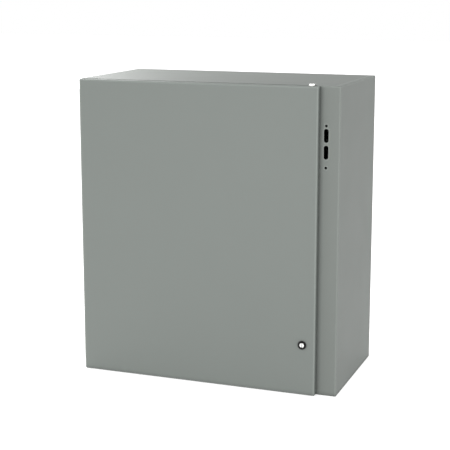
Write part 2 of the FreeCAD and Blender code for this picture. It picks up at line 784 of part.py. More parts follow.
def contact_shaft():
    axis = ("shaft_depth", "shaft_up")
    bar = rod("x", axis, ("0 - handle_offset - handle_hub_long", "crank_offset + crank_gauge"),
              "shaft_radius")
    node("contact_shaft", bar)
    blades = []
    for pole in POLES:
        collar = rod("x", axis, across_pole(pole, "collar_wide"), "collar_copper")
        blade = prism("YZ_Plane", arm_outline("blade_thick / 2", "blade_thick / 2", "blade_reach"),
                      across_pole(pole, "blade_wide"))
        bore = rod("x", axis, across_pole(pole, "collar_wide"), "shaft_radius")
        blades.append(cut(fuse(collar, blade), bore))
    node("contact_blades", group(blades))
    span = ("crank_offset", "crank_offset + crank_gauge")
    web = prism("YZ_Plane", arm_outline("crank_end", "crank_end", "crank_radius"), span)
    pin_spot = contact_spot("crank_radius", "0")
    boss = rod("x", axis, span, "crank_boss")
    end = rod("x", pin_spot, span, "crank_end")
    pin = rod("x", pin_spot, ("crank_offset + crank_gauge",
                              "crank_offset + crank_gauge + crank_pin_long"), "crank_pin")
    bore = rod("x", axis, span, "shaft_radius")
    node("drive_crank", cut(fuse(web, boss, end, pin), bore))
    left = "0 - handle_offset - handle_hub_long"
    hub_span = (left, left + " + handle_hub_long")
    hub = rod("x", axis, hub_span, "handle_hub")
    thin = (left + " + handle_hub_long / 2 - handle_arm / 2",
            left + " + handle_hub_long / 2 + handle_arm / 2")
    arm = prism("YZ_Plane", arm_outline("handle_arm", "handle_arm", "handle_reach - grip_long"),
                thin)
    grip = doc.addObject("Part::Cylinder", "grip")
    grip.Placement = Placement(Vector(), Rotation(Vector(1, 0, 0), 90 - driving["throw"]))
    bind(grip, "Radius", "grip_radius")
    bind(grip, "Height", "grip_long")
    spot = contact_spot("handle_reach - grip_long", "0")
    place(grip, left + " + handle_hub_long / 2", *spot)
    soft = doc.addObject("Part::Fillet", "soft_grip")
    soft.Base = grip
    doc.recompute()
    radius = driving["grip_radius"] / 2
    soft.Edges = [(index + 1, radius, radius) for index, edge in enumerate(grip.Shape.Edges)
                  if edge.Closed and len(edge.Vertexes) == 1]
    hub_bore = rod("x", axis, hub_span, "shaft_radius")
    node("manual_handle", cut(fuse(hub, arm, soft), hub_bore))


def solenoid():
    centre = ("plunger_place", contact_spot("crank_radius", "0")[0])
    depth = centre[1]
    pin_up = contact_spot("crank_radius", "0")[1]
    yoke_across = ("plunger_place - yoke_gauge / 2", "plunger_place + yoke_gauge / 2")
    yoke = box(yoke_across, (depth + " - yoke_deep / 2", depth + " + yoke_deep / 2"),
               (pin_up + " - yoke_tall / 2", pin_up + " + yoke_tall / 2"))
    slot = box(
        yoke_across,
        (depth + " - yoke_slot_long / 2", depth + " + yoke_slot_long / 2"),
        (pin_up + " - crank_pin - slot_play", pin_up + " + crank_pin + slot_play"),
    )
    stem = rod("z", centre, ("plunger_low", pin_up + " - yoke_tall / 2"), "plunger_radius")
    node("solenoid_plunger", cut(fuse(yoke, stem), slot))
    span = ("coil_low", "coil_high")
    winding = rod("z", centre, span, "coil_radius")
    tube = rod("z", centre, span, "plunger_radius + plunger_play")
    node("solenoid_coil", cut(winding, tube))
    across = ("plunger_place - frame_wide / 2", "plunger_place + frame_wide / 2")
    reach = (depth + " - frame_wide / 2", "base_front")
    low = box(across, reach, ("coil_low - frame_gauge", "coil_low"))
    high = box(across, reach, ("coil_high", "coil_high + frame_gauge"))
    back = box(across, ("base_front - frame_gauge", "base_front"),
               ("coil_low - frame_gauge", "coil_high + frame_gauge"))
    hole = rod("z", centre, ("coil_low - frame_gauge", "coil_high + frame_gauge"),
               "plunger_radius + plunger_play")
    node("solenoid_frame", cut(fuse(low, high, back), hole))


# ---- controller with its screen, lamps and push buttons ----

BUTTONS = ("test_button", "transfer_button", "reset_button")


def controller():
    across = ("left_column - control_wide / 2", "left_column + control_wide / 2")
    outline = rectangle(across, ("control_low", "control_high"))
    case = prism("XZ_Plane", outline, ("control_front", "panel_front"))
    round_edges(case, "bend_radius * 2", lambda edge: not lies_at(edge, "y", "panel_front"))
    hollow = rectangle(
        (across[0] + " + control_gauge", across[1] + " - control_gauge"),
        ("control_low + control_gauge", "control_high - control_gauge"),
    )
    pocket(case, "XZ_Plane", hollow, ("control_front + control_gauge", "panel_front"))
    wall = ("control_front", "control_front + control_gauge")
    window = ("left_column - screen_wide / 2", "left_column + screen_wide / 2")
    window_up = ("screen_up - screen_tall / 2", "screen_up + screen_tall / 2")
    glass = ("control_front", "control_front + screen_thick")
    tools = [box(window, glass, window_up)]
    for index, label in enumerate(BUTTONS):
        centre = ("left_column + %d * button_pitch" % (index - 1), "button_up")
        tools.append(rod("y", centre, wall, "button_radius + fit_play * 2"))
        cap = rod("y", centre, (wall[0] + " - button_proud", wall[1] + " + button_proud"),
                  "button_radius")
        flange = rod("y", centre, (wall[1] + " + fit_play", wall[1] + " + button_flange_thick"),
                     "button_flange")
        node(label, fuse(cap, flange))
    lamps = []
    for step in (-3, -1, 1, 3):
        centre = ("left_column + %d * lamp_pitch / 2" % step, "lamp_up")
        tools.append(rod("y", centre, wall, "lamp_radius"))
        lamps.append(rod("y", centre, (wall[0] + " - lamp_proud", wall[1]), "lamp_radius"))
    node("controller_case", cut(case, *tools))
    node("controller_screen", box(window, glass, window_up))
    node("status_lamps", group(lamps))


# ---- relays, terminals, fuses and transformer on the sub-panel ----

def relays():
    sockets, covers = [], []
    for index in (-1, 0, 1):
        middle = "left_column + %d * relay_pitch" % index
        across = (middle + " - relay_wide / 2", middle + " + relay_wide / 2")
        up = ("relay_up - socket_tall / 2", "relay_up + socket_tall / 2")
        sockets.append(box(across, ("panel_front - socket_deep", "panel_front"), up))
        cover_up = ("relay_up - relay_tall / 2", "relay_up + relay_tall / 2")
        covers.append(box(
            across, ("panel_front - socket_deep - relay_deep", "panel_front - socket_deep"),
            cover_up))
    node("relay_sockets", group(sockets))
    node("relay_covers", group(covers))


TERMINALS = 10


def terminal_strip():
    across = ("left_column - strip_wide / 2", "left_column + strip_wide / 2")
    top = "strip_low + %d * strip_pitch" % TERMINALS
    body = box(across, ("panel_front - strip_deep", "panel_front"), ("strip_low", top))
    cells, screws = [], []
    for index in range(TERMINALS):
        low = "strip_low + %d * strip_pitch" % index
        floor = "panel_front - strip_deep / 2"
        cells.append(box(across, ("panel_front - strip_deep", floor),
                         (low + " + strip_wall / 2", low + " + strip_pitch - strip_wall / 2")))
        for side in (-1, 1):
            centre = ("left_column + %d * strip_wide / 4" % side, low + " + strip_pitch / 2")
            head = rod("y", centre, (floor + " - screw_proud * 2", floor), "strip_screw")
            cross = box(
                (centre[0] + " - strip_screw", centre[0] + " + strip_screw"),
                (floor + " - screw_proud * 2", floor + " - screw_proud"),
                (centre[1] + " - strip_screw / 6", centre[1] + " + strip_screw / 6"),
            )
            screws.append(cut(head, cross))
    node("terminal_strip", cut(body, *cells))
    node("terminal_screws", group(screws))


def fuses():
    across = ("left_column - fuse_block_wide / 2", "left_column + fuse_block_wide / 2")
    up = ("fuse_up", "fuse_up + fuse_block_tall")
    block = box(across, ("panel_front - fuse_block_deep", "panel_front"), up)
    pieces, links = [block], []
    middle_up = "fuse_up + fuse_block_tall / 2"
    depth = "panel_front - fuse_block_deep - clip_deep / 2"
    bores = []
    for index in (-1, 0, 1):
        middle = "left_column + %d * fuse_pitch" % index
        for side in (-1, 1):
            centre = "%s + %d * (fuse_long / 2 - clip_tall / 2)" % (middle_up, side)
            pieces.append(box(
                (middle + " - fuse_radius - clip_gauge", middle + " + fuse_radius + clip_gauge"),
                ("panel_front - fuse_block_deep - clip_deep / 2", "panel_front - fuse_block_deep"),
                (centre + " - clip_tall / 2", centre + " + clip_tall / 2"),
            ))
        span = (middle_up + " - fuse_long / 2", middle_up + " + fuse_long / 2")
        links.append(rod("z", (middle, depth), span, "fuse_radius"))
        bores.append(rod("z", (middle, depth), span, "fuse_radius + fit_play"))
    node("fuse_block", cut(fuse(*pieces), *bores))
    node("fuses", group(links))


def transformer():
    middle = "right_column"
    across = (middle + " - core_wide / 2", middle + " + core_wide / 2")
    up = ("core_up - core_tall / 2", "core_up + core_tall / 2")
    gap = "(winding_deep - core_deep) / 2"
    depth = ("panel_front - %s - core_deep" % gap, "panel_front - " + gap)
    outer = box(across, depth, up)
    windows = []
    winding_up = ("core_up - core_tall / 2 + core_limb", "core_up + core_tall / 2 - core_limb")
    limb = "core_limb / 2"
    for side in (-1, 1):
        near = "%s + %d * %s" % (middle, side, limb)
        far = "%s + %d * (core_wide / 2 - %s)" % (middle, side, limb)
        low, high = sorted((near, far), key=size)
        windows.append(box((low, high), depth, winding_up))
    feet = []
    for side in (-1, 1):
        foot = "%s + %d * (core_wide / 2 - %s / 2)" % (middle, side, limb)
        for end in up:
            inward = limb if end == up[0] else "0 - " + limb
            low, high = sorted((end, "%s + %s" % (end, inward)), key=size)
            feet.append(box((foot + " - %s / 2" % limb, foot + " + %s / 2" % limb),
                            (depth[1], "panel_front"), (low, high)))
    node("transformer_core", fuse(cut(outer, *windows), *feet))
    coil = box(
        (middle + " - core_wide / 2 + %s + winding_play" % limb,
         middle + " + core_wide / 2 - %s - winding_play" % limb),
        ("panel_front - winding_deep", "panel_front - winding_play"),
        (winding_up[0] + " + winding_play", winding_up[1] + " - winding_play"),
    )
    limb_hole = box(
        (middle + " - " + limb, middle + " + " + limb),
        (depth[0] + " - winding_play / 2", depth[1] + " + winding_play / 2"),
        winding_up,
    )
    node("transformer_coil", cut(coil, limb_hole))


def earth_bar(label, middle, up, long):
    """A drilled bar with a row of clamping screws, on two stand-offs."""
    across = ("%s - %s / 2" % (middle, long), "%s + %s / 2" % (middle, long))
    face = "panel_front - bar_stand"
    bar = box(across, (face + " - bar_deep", face), (up, up + " + bar_tall"))
    count = int(size(long) // size("bar_screw_pitch")) - 1
    holes, screws = [], []
    for index in range(count):
        spot = "%s + %d * bar_screw_pitch" % (across[0], index + 1)
        holes.append(rod("z", (spot, face + " - bar_deep / 2"), (up, up + " + bar_tall"),
                         "bar_screw / 1.5"))
        head = rod("y", (spot, up + " + bar_tall / 2"),
                   (face + " - bar_deep - screw_proud * 2", face + " - bar_deep"), "bar_screw")
        screws.append(head)
    stands = []
    for side in (-1, 1):
        spot = "%s + %d * (%s / 2 - stand_radius)" % (middle, side, long)
        stands.append(rod("y", (spot, up + " + bar_tall / 2"), (face, "panel_front"),
                          "stand_radius"))
    node(label, cut(bar, *holes))
    return screws, stands


LOOM_ROUTES = (
    # across and up, along the face of the sub-panel: strip to controller, controller to
    # transformer, strip to fuses
    (("left_column + strip_wide / 2", "strip_low + strip_pitch * 5"),
     ("left_column + loom_aside", "strip_low + strip_pitch * 5"),
     ("left_column + loom_aside", "control_low")),
    (("left_column + control_wide / 2", "lamp_up"),
     ("right_column", "lamp_up"), ("right_column", "core_up + core_tall / 2")),
    (("left_column", "strip_low"), ("left_column", "fuse_up + fuse_block_tall")),
)


def loom_run(route):
    """A wire loom laid flat on the sub-panel: straight runs joined by tangent arcs."""
    level = size("panel_front - loom_ahead")
    corners = [Vector(size(across), level, size(up)) for across, up in route]
    bend = size("loom_bend")
    edges = []
    start = corners[0]
    for before, corner, after in zip(corners, corners[1:], corners[2:]):
        inward = (corner - before).normalize()
        outward = (after - corner).normalize()
        if inward.cross(outward).Length < 0.01:
            continue
        first = corner - inward * bend
        last = corner + outward * bend
        centre = first + outward * bend
        middle = centre + (corner - centre).normalize() * bend
        edges.append(Part.LineSegment(start, first).toShape())
        edges.append(Part.Arc(first, middle, last).toShape())
        start = last
    edges.append(Part.LineSegment(start, corners[-1]).toShape())
    path = Part.Wire(edges)
    heading = edges[0].tangentAt(edges[0].FirstParameter)
    ring = Part.Wire([Part.makeCircle(size("loom_radius"), corners[0], heading)])
    tube = path.makePipeShell([ring], True, False)
    wanted = path.Length * 3.14159 * size("loom_radius") ** 2
    print("loom of %.0f mm, volume ratio %.3f" % (path.Length, tube.Volume / wanted))
    return tube


def wiring_loom():
    loom = doc.addObject("Part::Feature", "loom")
    loom.Shape = Part.Compound([loom_run(route) for route in LOOM_ROUTES])
    node("wiring_loom", loom)


def build():
    enclosure_walls()
    hinge()
    door_pan()
    door_fittings()
    seal_tabs()
    latch()
    subpanel()
    switch_base()
    chutes, contacts, screws = [], [], []
    for name, up in (("normal", True), ("emergency", False)):
        side_chutes, side_contacts, side_screws = source_side(name, up)
        chutes += side_chutes
        contacts += side_contacts
        screws += side_screws
    screws += load_side()
    node("arc_chutes", group(chutes))
    node("fixed_contacts", group(contacts))
    node("lug_screws", group(screws))
    phase_barriers()
    shaft_plates()
    contact_shaft()
    solenoid()
    controller()
    relays()
    terminal_strip()
    fuses()
    transformer()
    neutral_screws, neutral_stands = earth_bar(
        "neutral_bar", "right_column", "neutral_up", "neutral_long")
    ground_screws, ground_stands = earth_bar("ground_bar", "0", "ground_up", "ground_long")
    node("bar_stands", group(neutral_stands + ground_stands))
    node("bar_screws", group(neutral_screws + ground_screws))
    wiring_loom()


build()
doc.recompute()
failed = [item.Label for item in doc.Objects if {"Invalid", "Error"} & set(item.State)]
if failed:
    raise RuntimeError("features that failed: " + ", ".join(failed))
for item in nodes:
    if item.Shape.isNull() or not item.Shape.isValid() or not item.Shape.Solids:
        raise RuntimeError("no valid solid in " + item.Label)
os.makedirs("parts", exist_ok=True)
for item in nodes:
    item.Shape.exportStep("parts/%s.step" % item.Label)
print("%d sub-parts" % len(nodes))
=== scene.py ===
import json
import math

import bmesh
import bpy
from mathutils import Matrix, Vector


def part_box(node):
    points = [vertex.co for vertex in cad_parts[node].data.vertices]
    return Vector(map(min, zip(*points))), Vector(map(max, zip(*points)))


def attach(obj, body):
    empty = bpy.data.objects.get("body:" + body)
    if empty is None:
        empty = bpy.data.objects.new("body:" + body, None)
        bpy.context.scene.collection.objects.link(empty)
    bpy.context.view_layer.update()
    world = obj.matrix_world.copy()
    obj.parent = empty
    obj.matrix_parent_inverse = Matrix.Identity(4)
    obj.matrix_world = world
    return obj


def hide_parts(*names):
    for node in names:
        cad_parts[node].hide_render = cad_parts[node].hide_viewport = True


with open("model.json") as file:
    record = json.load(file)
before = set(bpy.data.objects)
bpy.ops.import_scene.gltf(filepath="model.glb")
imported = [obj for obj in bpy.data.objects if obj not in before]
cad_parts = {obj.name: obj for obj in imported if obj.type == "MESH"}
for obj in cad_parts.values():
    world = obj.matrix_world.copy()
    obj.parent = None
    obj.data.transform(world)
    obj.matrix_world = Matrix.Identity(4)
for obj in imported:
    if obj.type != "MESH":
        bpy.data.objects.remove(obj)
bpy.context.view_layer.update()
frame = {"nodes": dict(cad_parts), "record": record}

nodes = frame["nodes"]
record = frame["record"]
slotOfNode = {row["node"]: row["material_slot"] for row in record["subparts"]}
print("frame loaded:", len(nodes), "nodes")


# camera: front right and a little above; a small downward shift keeps the uprights nearly parallel

cameraLook = {
    "place": (1.2648, -3.4193, 1.2071),
    "turn": 20.52,  # degrees to the left of straight ahead
    "tilt": 10.65,  # degrees down
    "lens": 94.7,
    "shift": -0.05,
}


def makeCamera(look):
    data = bpy.data.cameras.new("viewCamera")
    data.lens = look["lens"]
    data.shift_y = look["shift"]
    data.clip_end = 60
    camera = bpy.data.objects.new("viewCamera", data)
    camera.location = look["place"]
    camera.rotation_euler = (math.radians(90 - look["tilt"]), 0, math.radians(look["turn"]))
    bpy.context.scene.collection.objects.link(camera)
    bpy.context.scene.camera = camera


makeCamera(cameraLook)


# studio: white surround, pale floor that glows a little, a light above at the left and one in front

studioLook = {
    "surround": (1.0, 1.0, 1.0),
    "surroundStrength": 1.0,
    "floorColour": (0.93, 0.93, 0.93),
    "floorGlow": 0.52,  # keeps the floor white where the cabinet shades it
    "floorRough": 0.9,
    "floorGloss": 0.1,
    "floorSize": 40,
    "boxes": {
        "overheadBox": {"at": (-0.92, 0.5, 1.6), "aim": (-0.34, 0, 0.9), "size": 0.7, "power": 14.6},
        "frontBox": {"at": (0.2, -4.0, 0.7), "aim": (0.05, 0, 0.36), "size": 1.8, "power": 58},
    },
}


def makeStudio(look):
    world = bpy.data.worlds.new("whiteSurround")
    world.use_nodes = True
    background = world.node_tree.nodes["Background"]
    background.inputs["Color"].default_value = (*look["surround"], 1)
    background.inputs["Strength"].default_value = look["surroundStrength"]
    bpy.context.scene.world = world
    bpy.context.scene.view_settings.view_transform = "Standard"
    for name, box in look["boxes"].items():
        data = bpy.data.lights.new(name, "AREA")
        data.energy = box["power"]
        data.size = box["size"]
        light = bpy.data.objects.new(name, data)
        light.location = box["at"]
        aim = Vector(box["aim"]) - Vector(box["at"])
        light.rotation_euler = aim.to_track_quat("-Z", "Y").to_euler()
        bpy.context.scene.collection.objects.link(light)
    half = look["floorSize"] / 2
    mesh = bpy.data.meshes.new("paleFloor")
    mesh.from_pydata([(-half, -half, 0), (half, -half, 0), (half, half, 0), (-half, half, 0)],
                     [], [(0, 1, 2, 3)])
    floor = bpy.data.objects.new("paleFloor", mesh)
    bpy.context.scene.collection.objects.link(floor)
    pale = bpy.data.materials.new("paleFloor")
    pale.use_nodes = True
    shader = pale.node_tree.nodes["Principled BSDF"]
    shader.inputs["Base Color"].default_value = (*look["floorColour"], 1)
    shader.inputs["Roughness"].default_value = look["floorRough"]
    shader.inputs["Specular IOR Level"].default_value = look["floorGloss"]
    shader.inputs["Emission Color"].default_value = (1, 1, 1, 1)
    shader.inputs["Emission Strength"].default_value = look["floorGlow"]
    mesh.materials.append(pale)


makeStudio(studioLook)
print("camera and studio set")


# small tools for finishes

def newFinish(name):
    material = bpy.data.materials.new(name)
    material.use_nodes = True
    tree = material.node_tree
    return material, tree, tree.nodes["Principled BSDF"]


# A texture in the piece's own metres; a larger stretch packs it tighter along that axis.
def grain(tree, scale, detail=3.0, stretch=(1, 1, 1), kind="ShaderNodeTexNoise"):
    place = tree.nodes.new("ShaderNodeTexCoord")
    mapping = tree.nodes.new("ShaderNodeMapping")
    mapping.inputs["Scale"].default_value = stretch
    tree.links.new(place.outputs["Object"], mapping.inputs["Vector"])
    texture = tree.nodes.new(kind)
    texture.inputs["Scale"].default_value = scale
    if "Detail" in texture.inputs:
        texture.inputs["Detail"].default_value = detail
    tree.links.new(mapping.outputs["Vector"], texture.inputs["Vector"])
    return texture.outputs["Distance" if kind == "ShaderNodeTexVoronoi" else 0]


# Maps the middle of a texture onto a range of values.
def spread(tree, source, low, high):
    node = tree.nodes.new("ShaderNodeMapRange")
    node.inputs["From Min"].default_value = 0.3
    node.inputs["From Max"].default_value = 0.7
    node.inputs["To Min"].default_value = low
    node.inputs["To Max"].default_value = high
    tree.links.new(source, node.inputs["Value"])
    return node.outputs["Result"]


def blendColours(tree, factor, first, second):
    node = tree.nodes.new("ShaderNodeMix")
    node.data_type = "RGBA"
    tree.links.new(factor, node.inputs["Factor"])
    for socket, colour in ((node.inputs["A"], first), (node.inputs["B"], second)):
        if isinstance(colour, tuple):
            socket.default_value = (*colour, 1)
        else:
            tree.links.new(colour, socket)
    return node.outputs["Result"]


def shade(colour, factor):
    return tuple(min(1.0, channel * factor) for channel in colour)


# Stacks height textures; each layer is a texture and its height in metres.
def bumps(tree, shader, layers):
    normal = None
    for source, height in layers:
        bump = tree.nodes.new("ShaderNodeBump")
        bump.inputs["Strength"].default_value = 1.0
        bump.inputs["Distance"].default_value = height
        tree.links.new(source, bump.inputs["Height"])
        if normal is not None:
            tree.links.new(normal, bump.inputs["Normal"])
        normal = bump.outputs["Normal"]
    tree.links.new(normal, shader.inputs["Normal"])


# Painted shade mask from ambient occlusion: 0 in the open, towards 1 in corners, gaps and where a
# panel meets what stands beside it.
def paintedShadeMask(tree, reach):
    opening = tree.nodes.new("ShaderNodeAmbientOcclusion")
    opening.samples = 8
    opening.inputs["Distance"].default_value = reach
    flip = tree.nodes.new("ShaderNodeMapRange")
    flip.inputs["From Min"].default_value = 1.0
    flip.inputs["From Max"].default_value = 0.25
    tree.links.new(opening.outputs["AO"], flip.inputs["Value"])
    return flip.outputs["Result"]


# 1 where the surface turns within the reach given, 0 on the flat
def turning(tree, reach, start, full):
    bevel = tree.nodes.new("ShaderNodeBevel")
    bevel.samples = 6
    bevel.inputs["Radius"].default_value = reach
    flat = tree.nodes.new("ShaderNodeNewGeometry")
    dot = tree.nodes.new("ShaderNodeVectorMath")
    dot.operation = "DOT_PRODUCT"
    tree.links.new(bevel.outputs["Normal"], dot.inputs[0])
    tree.links.new(flat.outputs["Normal"], dot.inputs[1])
    edge = tree.nodes.new("ShaderNodeMapRange")
    edge.inputs["From Min"].default_value = start
    edge.inputs["From Max"].default_value = full
    tree.links.new(dot.outputs["Value"], edge.inputs["Value"])
    return edge.outputs["Result"]


# outer edges, broken up by a coarse grain; worn edges on plastic, and wear with a painted highlight on
# the powder paint
def edgeWearAndHighlight(tree, reach, coverage):
    edge = turning(tree, reach, 0.99, 0.85)
    patches = spread(tree, grain(tree, 60, 4), coverage - 0.6, coverage + 0.4)
    product = tree.nodes.new("ShaderNodeMath")
    product.operation = "MULTIPLY"
    product.use_clamp = True
    tree.links.new(edge, product.inputs[0])
    tree.links.new(patches, product.inputs[1])
    return product.outputs["Value"]


# finishes, one function for each way a surface is made

# Baked powder paint: orange peel, faint mottling, painted highlights along bends, rubbed edges that
# are partly wear and partly painted highlight, and painted shade in the corners.
coatLook = {
    "mottle": 0.012,
    "mottleScale": 7,
    "bendHighlightReach": 0.006,  # how far on each side of a bend the painted highlight reaches
    "bendHighlightFactor": 1.42,
    "edge": 0.0025,
    "rubAndHighlightCover": 0.7,
    "rubAndHighlightLighter": 1.30,
    "paintedShadeReach": 0.014,
    "paintedShadeDarker": 0.36,
    "rough": 0.56,
    "roughScale": 9,
    "gloss": 0.30,
    "peelScale": 420,
    "peelHeight": 0.00003,
}


def powderCoat(name, look):
    material, tree, shader = newFinish(name)
    colour = look["colour"]
    mottle = blendColours(tree, grain(tree, look["mottleScale"], 4),
                          shade(colour, 1 - look["mottle"]), shade(colour, 1 + look["mottle"]))
    # painted highlight: the colour is lighter along bends, standing in for the light that bends catch
    highlitBends = blendColours(tree, turning(tree, look["bendHighlightReach"], 0.998, 0.96), mottle,
                         shade(colour, look["bendHighlightFactor"]))
    # lighter outer edges: partly rubbed wear, partly a painted highlight along the edges
    rubbedAndHighlit = blendColours(tree, edgeWearAndHighlight(tree, look["edge"], look["rubAndHighlightCover"]), highlitBends,
                          shade(colour, look["rubAndHighlightLighter"]))
    # painted shade: the colour darkens in corners and gaps, where ambient occlusion finds shade
    withPaintedShade = blendColours(tree, paintedShadeMask(tree, look["paintedShadeReach"]), rubbedAndHighlit,
                         shade(colour, look["paintedShadeDarker"]))
    tree.links.new(withPaintedShade, shader.inputs["Base Color"])
    patches = grain(tree, look["roughScale"], 5)
    tree.links.new(spread(tree, patches, look["rough"] - 0.01, look["rough"] + 0.02),
                   shader.inputs["Roughness"])
    bumps(tree, shader, [(grain(tree, look["peelScale"], 2), look["peelHeight"]),
                         (grain(tree, look["peelScale"] * 5, 2), look["peelHeight"] / 6)])
    shader.inputs["Specular IOR Level"].default_value = look["gloss"]
    return material


# Plated or bare metal: fine lines one way, cloudy patches, painted shade where parts meet.
steelLook = {
    "cloud": 0.07,
    "cloudScale": 24,
    "paintedShadeReach": 0.003,
    "paintedShadeDarker": 0.30,
    "rough": 0.30,
    "lineScale": 160,
    "lineStretch": (1, 1, 9),
    "lineHeight": 0.00002,
    "dentScale": 120,
}


def platedSteel(name, look):
    material, tree, shader = newFinish(name)
    colour = look["colour"]
    clouds = blendColours(tree, grain(tree, look["cloudScale"], 5),
                          shade(colour, 1 - look["cloud"]), shade(colour, 1 + look["cloud"]))
    # painted shade: the colour darkens where parts meet, where ambient occlusion finds shade
    withPaintedShade = blendColours(tree, paintedShadeMask(tree, look["paintedShadeReach"]), clouds,
                         shade(colour, look["paintedShadeDarker"]))
    tree.links.new(withPaintedShade, shader.inputs["Base Color"])
    shader.inputs["Metallic"].default_value = 1.0
    lines = grain(tree, look["lineScale"], 2, look["lineStretch"])
    tree.links.new(spread(tree, lines, look["rough"] - 0.06, look["rough"] + 0.10),
                   shader.inputs["Roughness"])
    bumps(tree, shader, [(lines, look["lineHeight"]),
                         (grain(tree, look["dentScale"], 4), look["lineHeight"] * 2)])
    return material


# Copper bar with drawing lines and brown tarnish that gathers in patches.
copperLook = {
    "tarnish": 0.7,
    "tarnishScale": 14,
    "tarnishColour": (0.26, 0.10, 0.05),
    "rough": 0.27,
    "lineScale": 90,
    "lineStretch": (12, 1, 0.6),
    "lineHeight": 0.00004,
    "pitScale": 300,
    "pitHeight": 0.00002,
}


def drawnCopper(name, look):
    material, tree, shader = newFinish(name)
    tarnish = spread(tree, grain(tree, look["tarnishScale"], 6), 0, look["tarnish"])
    colour = blendColours(tree, tarnish, look["colour"], look["tarnishColour"])
    tree.links.new(colour, shader.inputs["Base Color"])
    shader.inputs["Metallic"].default_value = 1.0
    lines = grain(tree, look["lineScale"], 2, look["lineStretch"])
    tree.links.new(spread(tree, lines, look["rough"], look["rough"] + 0.14),
                   shader.inputs["Roughness"])
    bumps(tree, shader, [(lines, look["lineHeight"]),
                         (grain(tree, look["pitScale"], 2), look["pitHeight"])])
    return material


# Moulded plastic: spark-eroded grain, faint flow marks, scuffed edges and painted shade in the
# corners.
plasticLook = {
    "flow": 0.04,
    "flowScale": 11,
    "scuffReach": 0.0006,
    "scuffCover": 0.35,
    "scuffLighter": 1.5,
    "paintedShadeReach": 0.004,
    "paintedShadeDarker": 0.5,
    "rough": 0.5,
    "roughScale": 30,
    "gloss": 0.4,
    "grainScale": 1400,
    "grainHeight": 0.00004,
}


def mouldedPlastic(name, look):
    material, tree, shader = newFinish(name)
    colour = look["colour"]
    flow = blendColours(tree, grain(tree, look["flowScale"], 4),
                        shade(colour, 1 - look["flow"]), shade(colour, 1 + look["flow"]))
    scuffed = blendColours(tree, edgeWearAndHighlight(tree, look["scuffReach"], look["scuffCover"]), flow,
                           shade(colour, look["scuffLighter"]))
    # painted shade: the colour darkens in corners and gaps, where ambient occlusion finds shade
    withPaintedShade = blendColours(tree, paintedShadeMask(tree, look["paintedShadeReach"]), scuffed,
                         shade(colour, look["paintedShadeDarker"]))
    tree.links.new(withPaintedShade, shader.inputs["Base Color"])
    shader.inputs["Specular IOR Level"].default_value = look["gloss"]
    patches = grain(tree, look["roughScale"], 5)
    tree.links.new(spread(tree, patches, look["rough"] - 0.05, look["rough"] + 0.06),
                   shader.inputs["Roughness"])
    bumps(tree, shader, [(grain(tree, look["grainScale"], 3), look["grainHeight"])])
    return material


# Pressed fibre: long pale fibres in a darker sheet.
fibreLook = {
    "fibreColour": (0.58, 0.52, 0.42),
    "fibreScale": 60,
    "fibreStretch": (1, 9, 1),
    "fibreHeight": 0.0001,
    "rough": 0.72,
    "nubScale": 900,
    "nubHeight": 0.00004,
}


def fibreBoard(name, look):
    material, tree, shader = newFinish(name)
    fibres = grain(tree, look["fibreScale"], 6, look["fibreStretch"])
    tree.links.new(blendColours(tree, fibres, look["colour"], look["fibreColour"]),
                   shader.inputs["Base Color"])
    shader.inputs["Roughness"].default_value = look["rough"]
    bumps(tree, shader, [(fibres, look["fibreHeight"]),
                         (grain(tree, look["nubScale"], 2), look["nubHeight"])])
    return material


# Stacked laminations: fine ribs across the stack under dark varnish.
ironLook = {
    "laminations": 300,
    "waviness": 0.4,
    "ribLighter": 1.9,
    "ribHeight": 0.0002,
    "metal": 0.5,
    "rough": 0.45,
    "varnishScale": 400,
    "varnishHeight": 0.00005,
}


def laminatedIron(name, look):
    material, tree, shader = newFinish(name)
    waves = tree.nodes.new("ShaderNodeTexWave")
    waves.wave_type = "BANDS"
    waves.bands_direction = "Y"
    waves.inputs["Scale"].default_value = look["laminations"]
    waves.inputs["Distortion"].default_value = look["waviness"]
    place = tree.nodes.new("ShaderNodeTexCoord")
    tree.links.new(place.outputs["Object"], waves.inputs["Vector"])
    ribs = waves.outputs["Fac"]
    tree.links.new(blendColours(tree, ribs, look["colour"], shade(look["colour"], look["ribLighter"])),
                   shader.inputs["Base Color"])
    shader.inputs["Metallic"].default_value = look["metal"]
    shader.inputs["Roughness"].default_value = look["rough"]
    bumps(tree, shader, [(ribs, look["ribHeight"]),
                         (grain(tree, look["varnishScale"], 3), look["varnishHeight"])])
    return material


# Foam rubber: tiny closed cells and a dull skin.
foamLook = {
    "cellScale": 900,
    "cellHeight": 0.0003,
    "patchScale": 25,
    "patchLighter": 1.6,
    "rough": 0.85,
    "sheen": 0.15,
    "skinScale": 120,
    "skinHeight": 0.0002,
}


def closedCellFoam(name, look):
    material, tree, shader = newFinish(name)
    colour = look["colour"]
    cells = grain(tree, look["cellScale"], kind="ShaderNodeTexVoronoi")
    tree.links.new(blendColours(tree, grain(tree, look["patchScale"], 5), colour,
                                shade(colour, look["patchLighter"])), shader.inputs["Base Color"])
    shader.inputs["Roughness"].default_value = look["rough"]
    shader.inputs["Sheen Weight"].default_value = look["sheen"]
    bumps(tree, shader, [(cells, look["cellHeight"]),
                         (grain(tree, look["skinScale"], 3), look["skinHeight"])])
    return material


# Hard glossy surface with a soft clear coat: ceramic, lenses, relay covers and the display window.
glazeLook = {
    "uneven": 0.06,
    "unevenScale": 20,
    "rough": 0.08,
    "roughScale": 70,
    "coat": 0.8,
    "coatRough": 0.06,
    "alpha": 1,
    "rippleScale": 240,
    "rippleHeight": 0.00002,
}


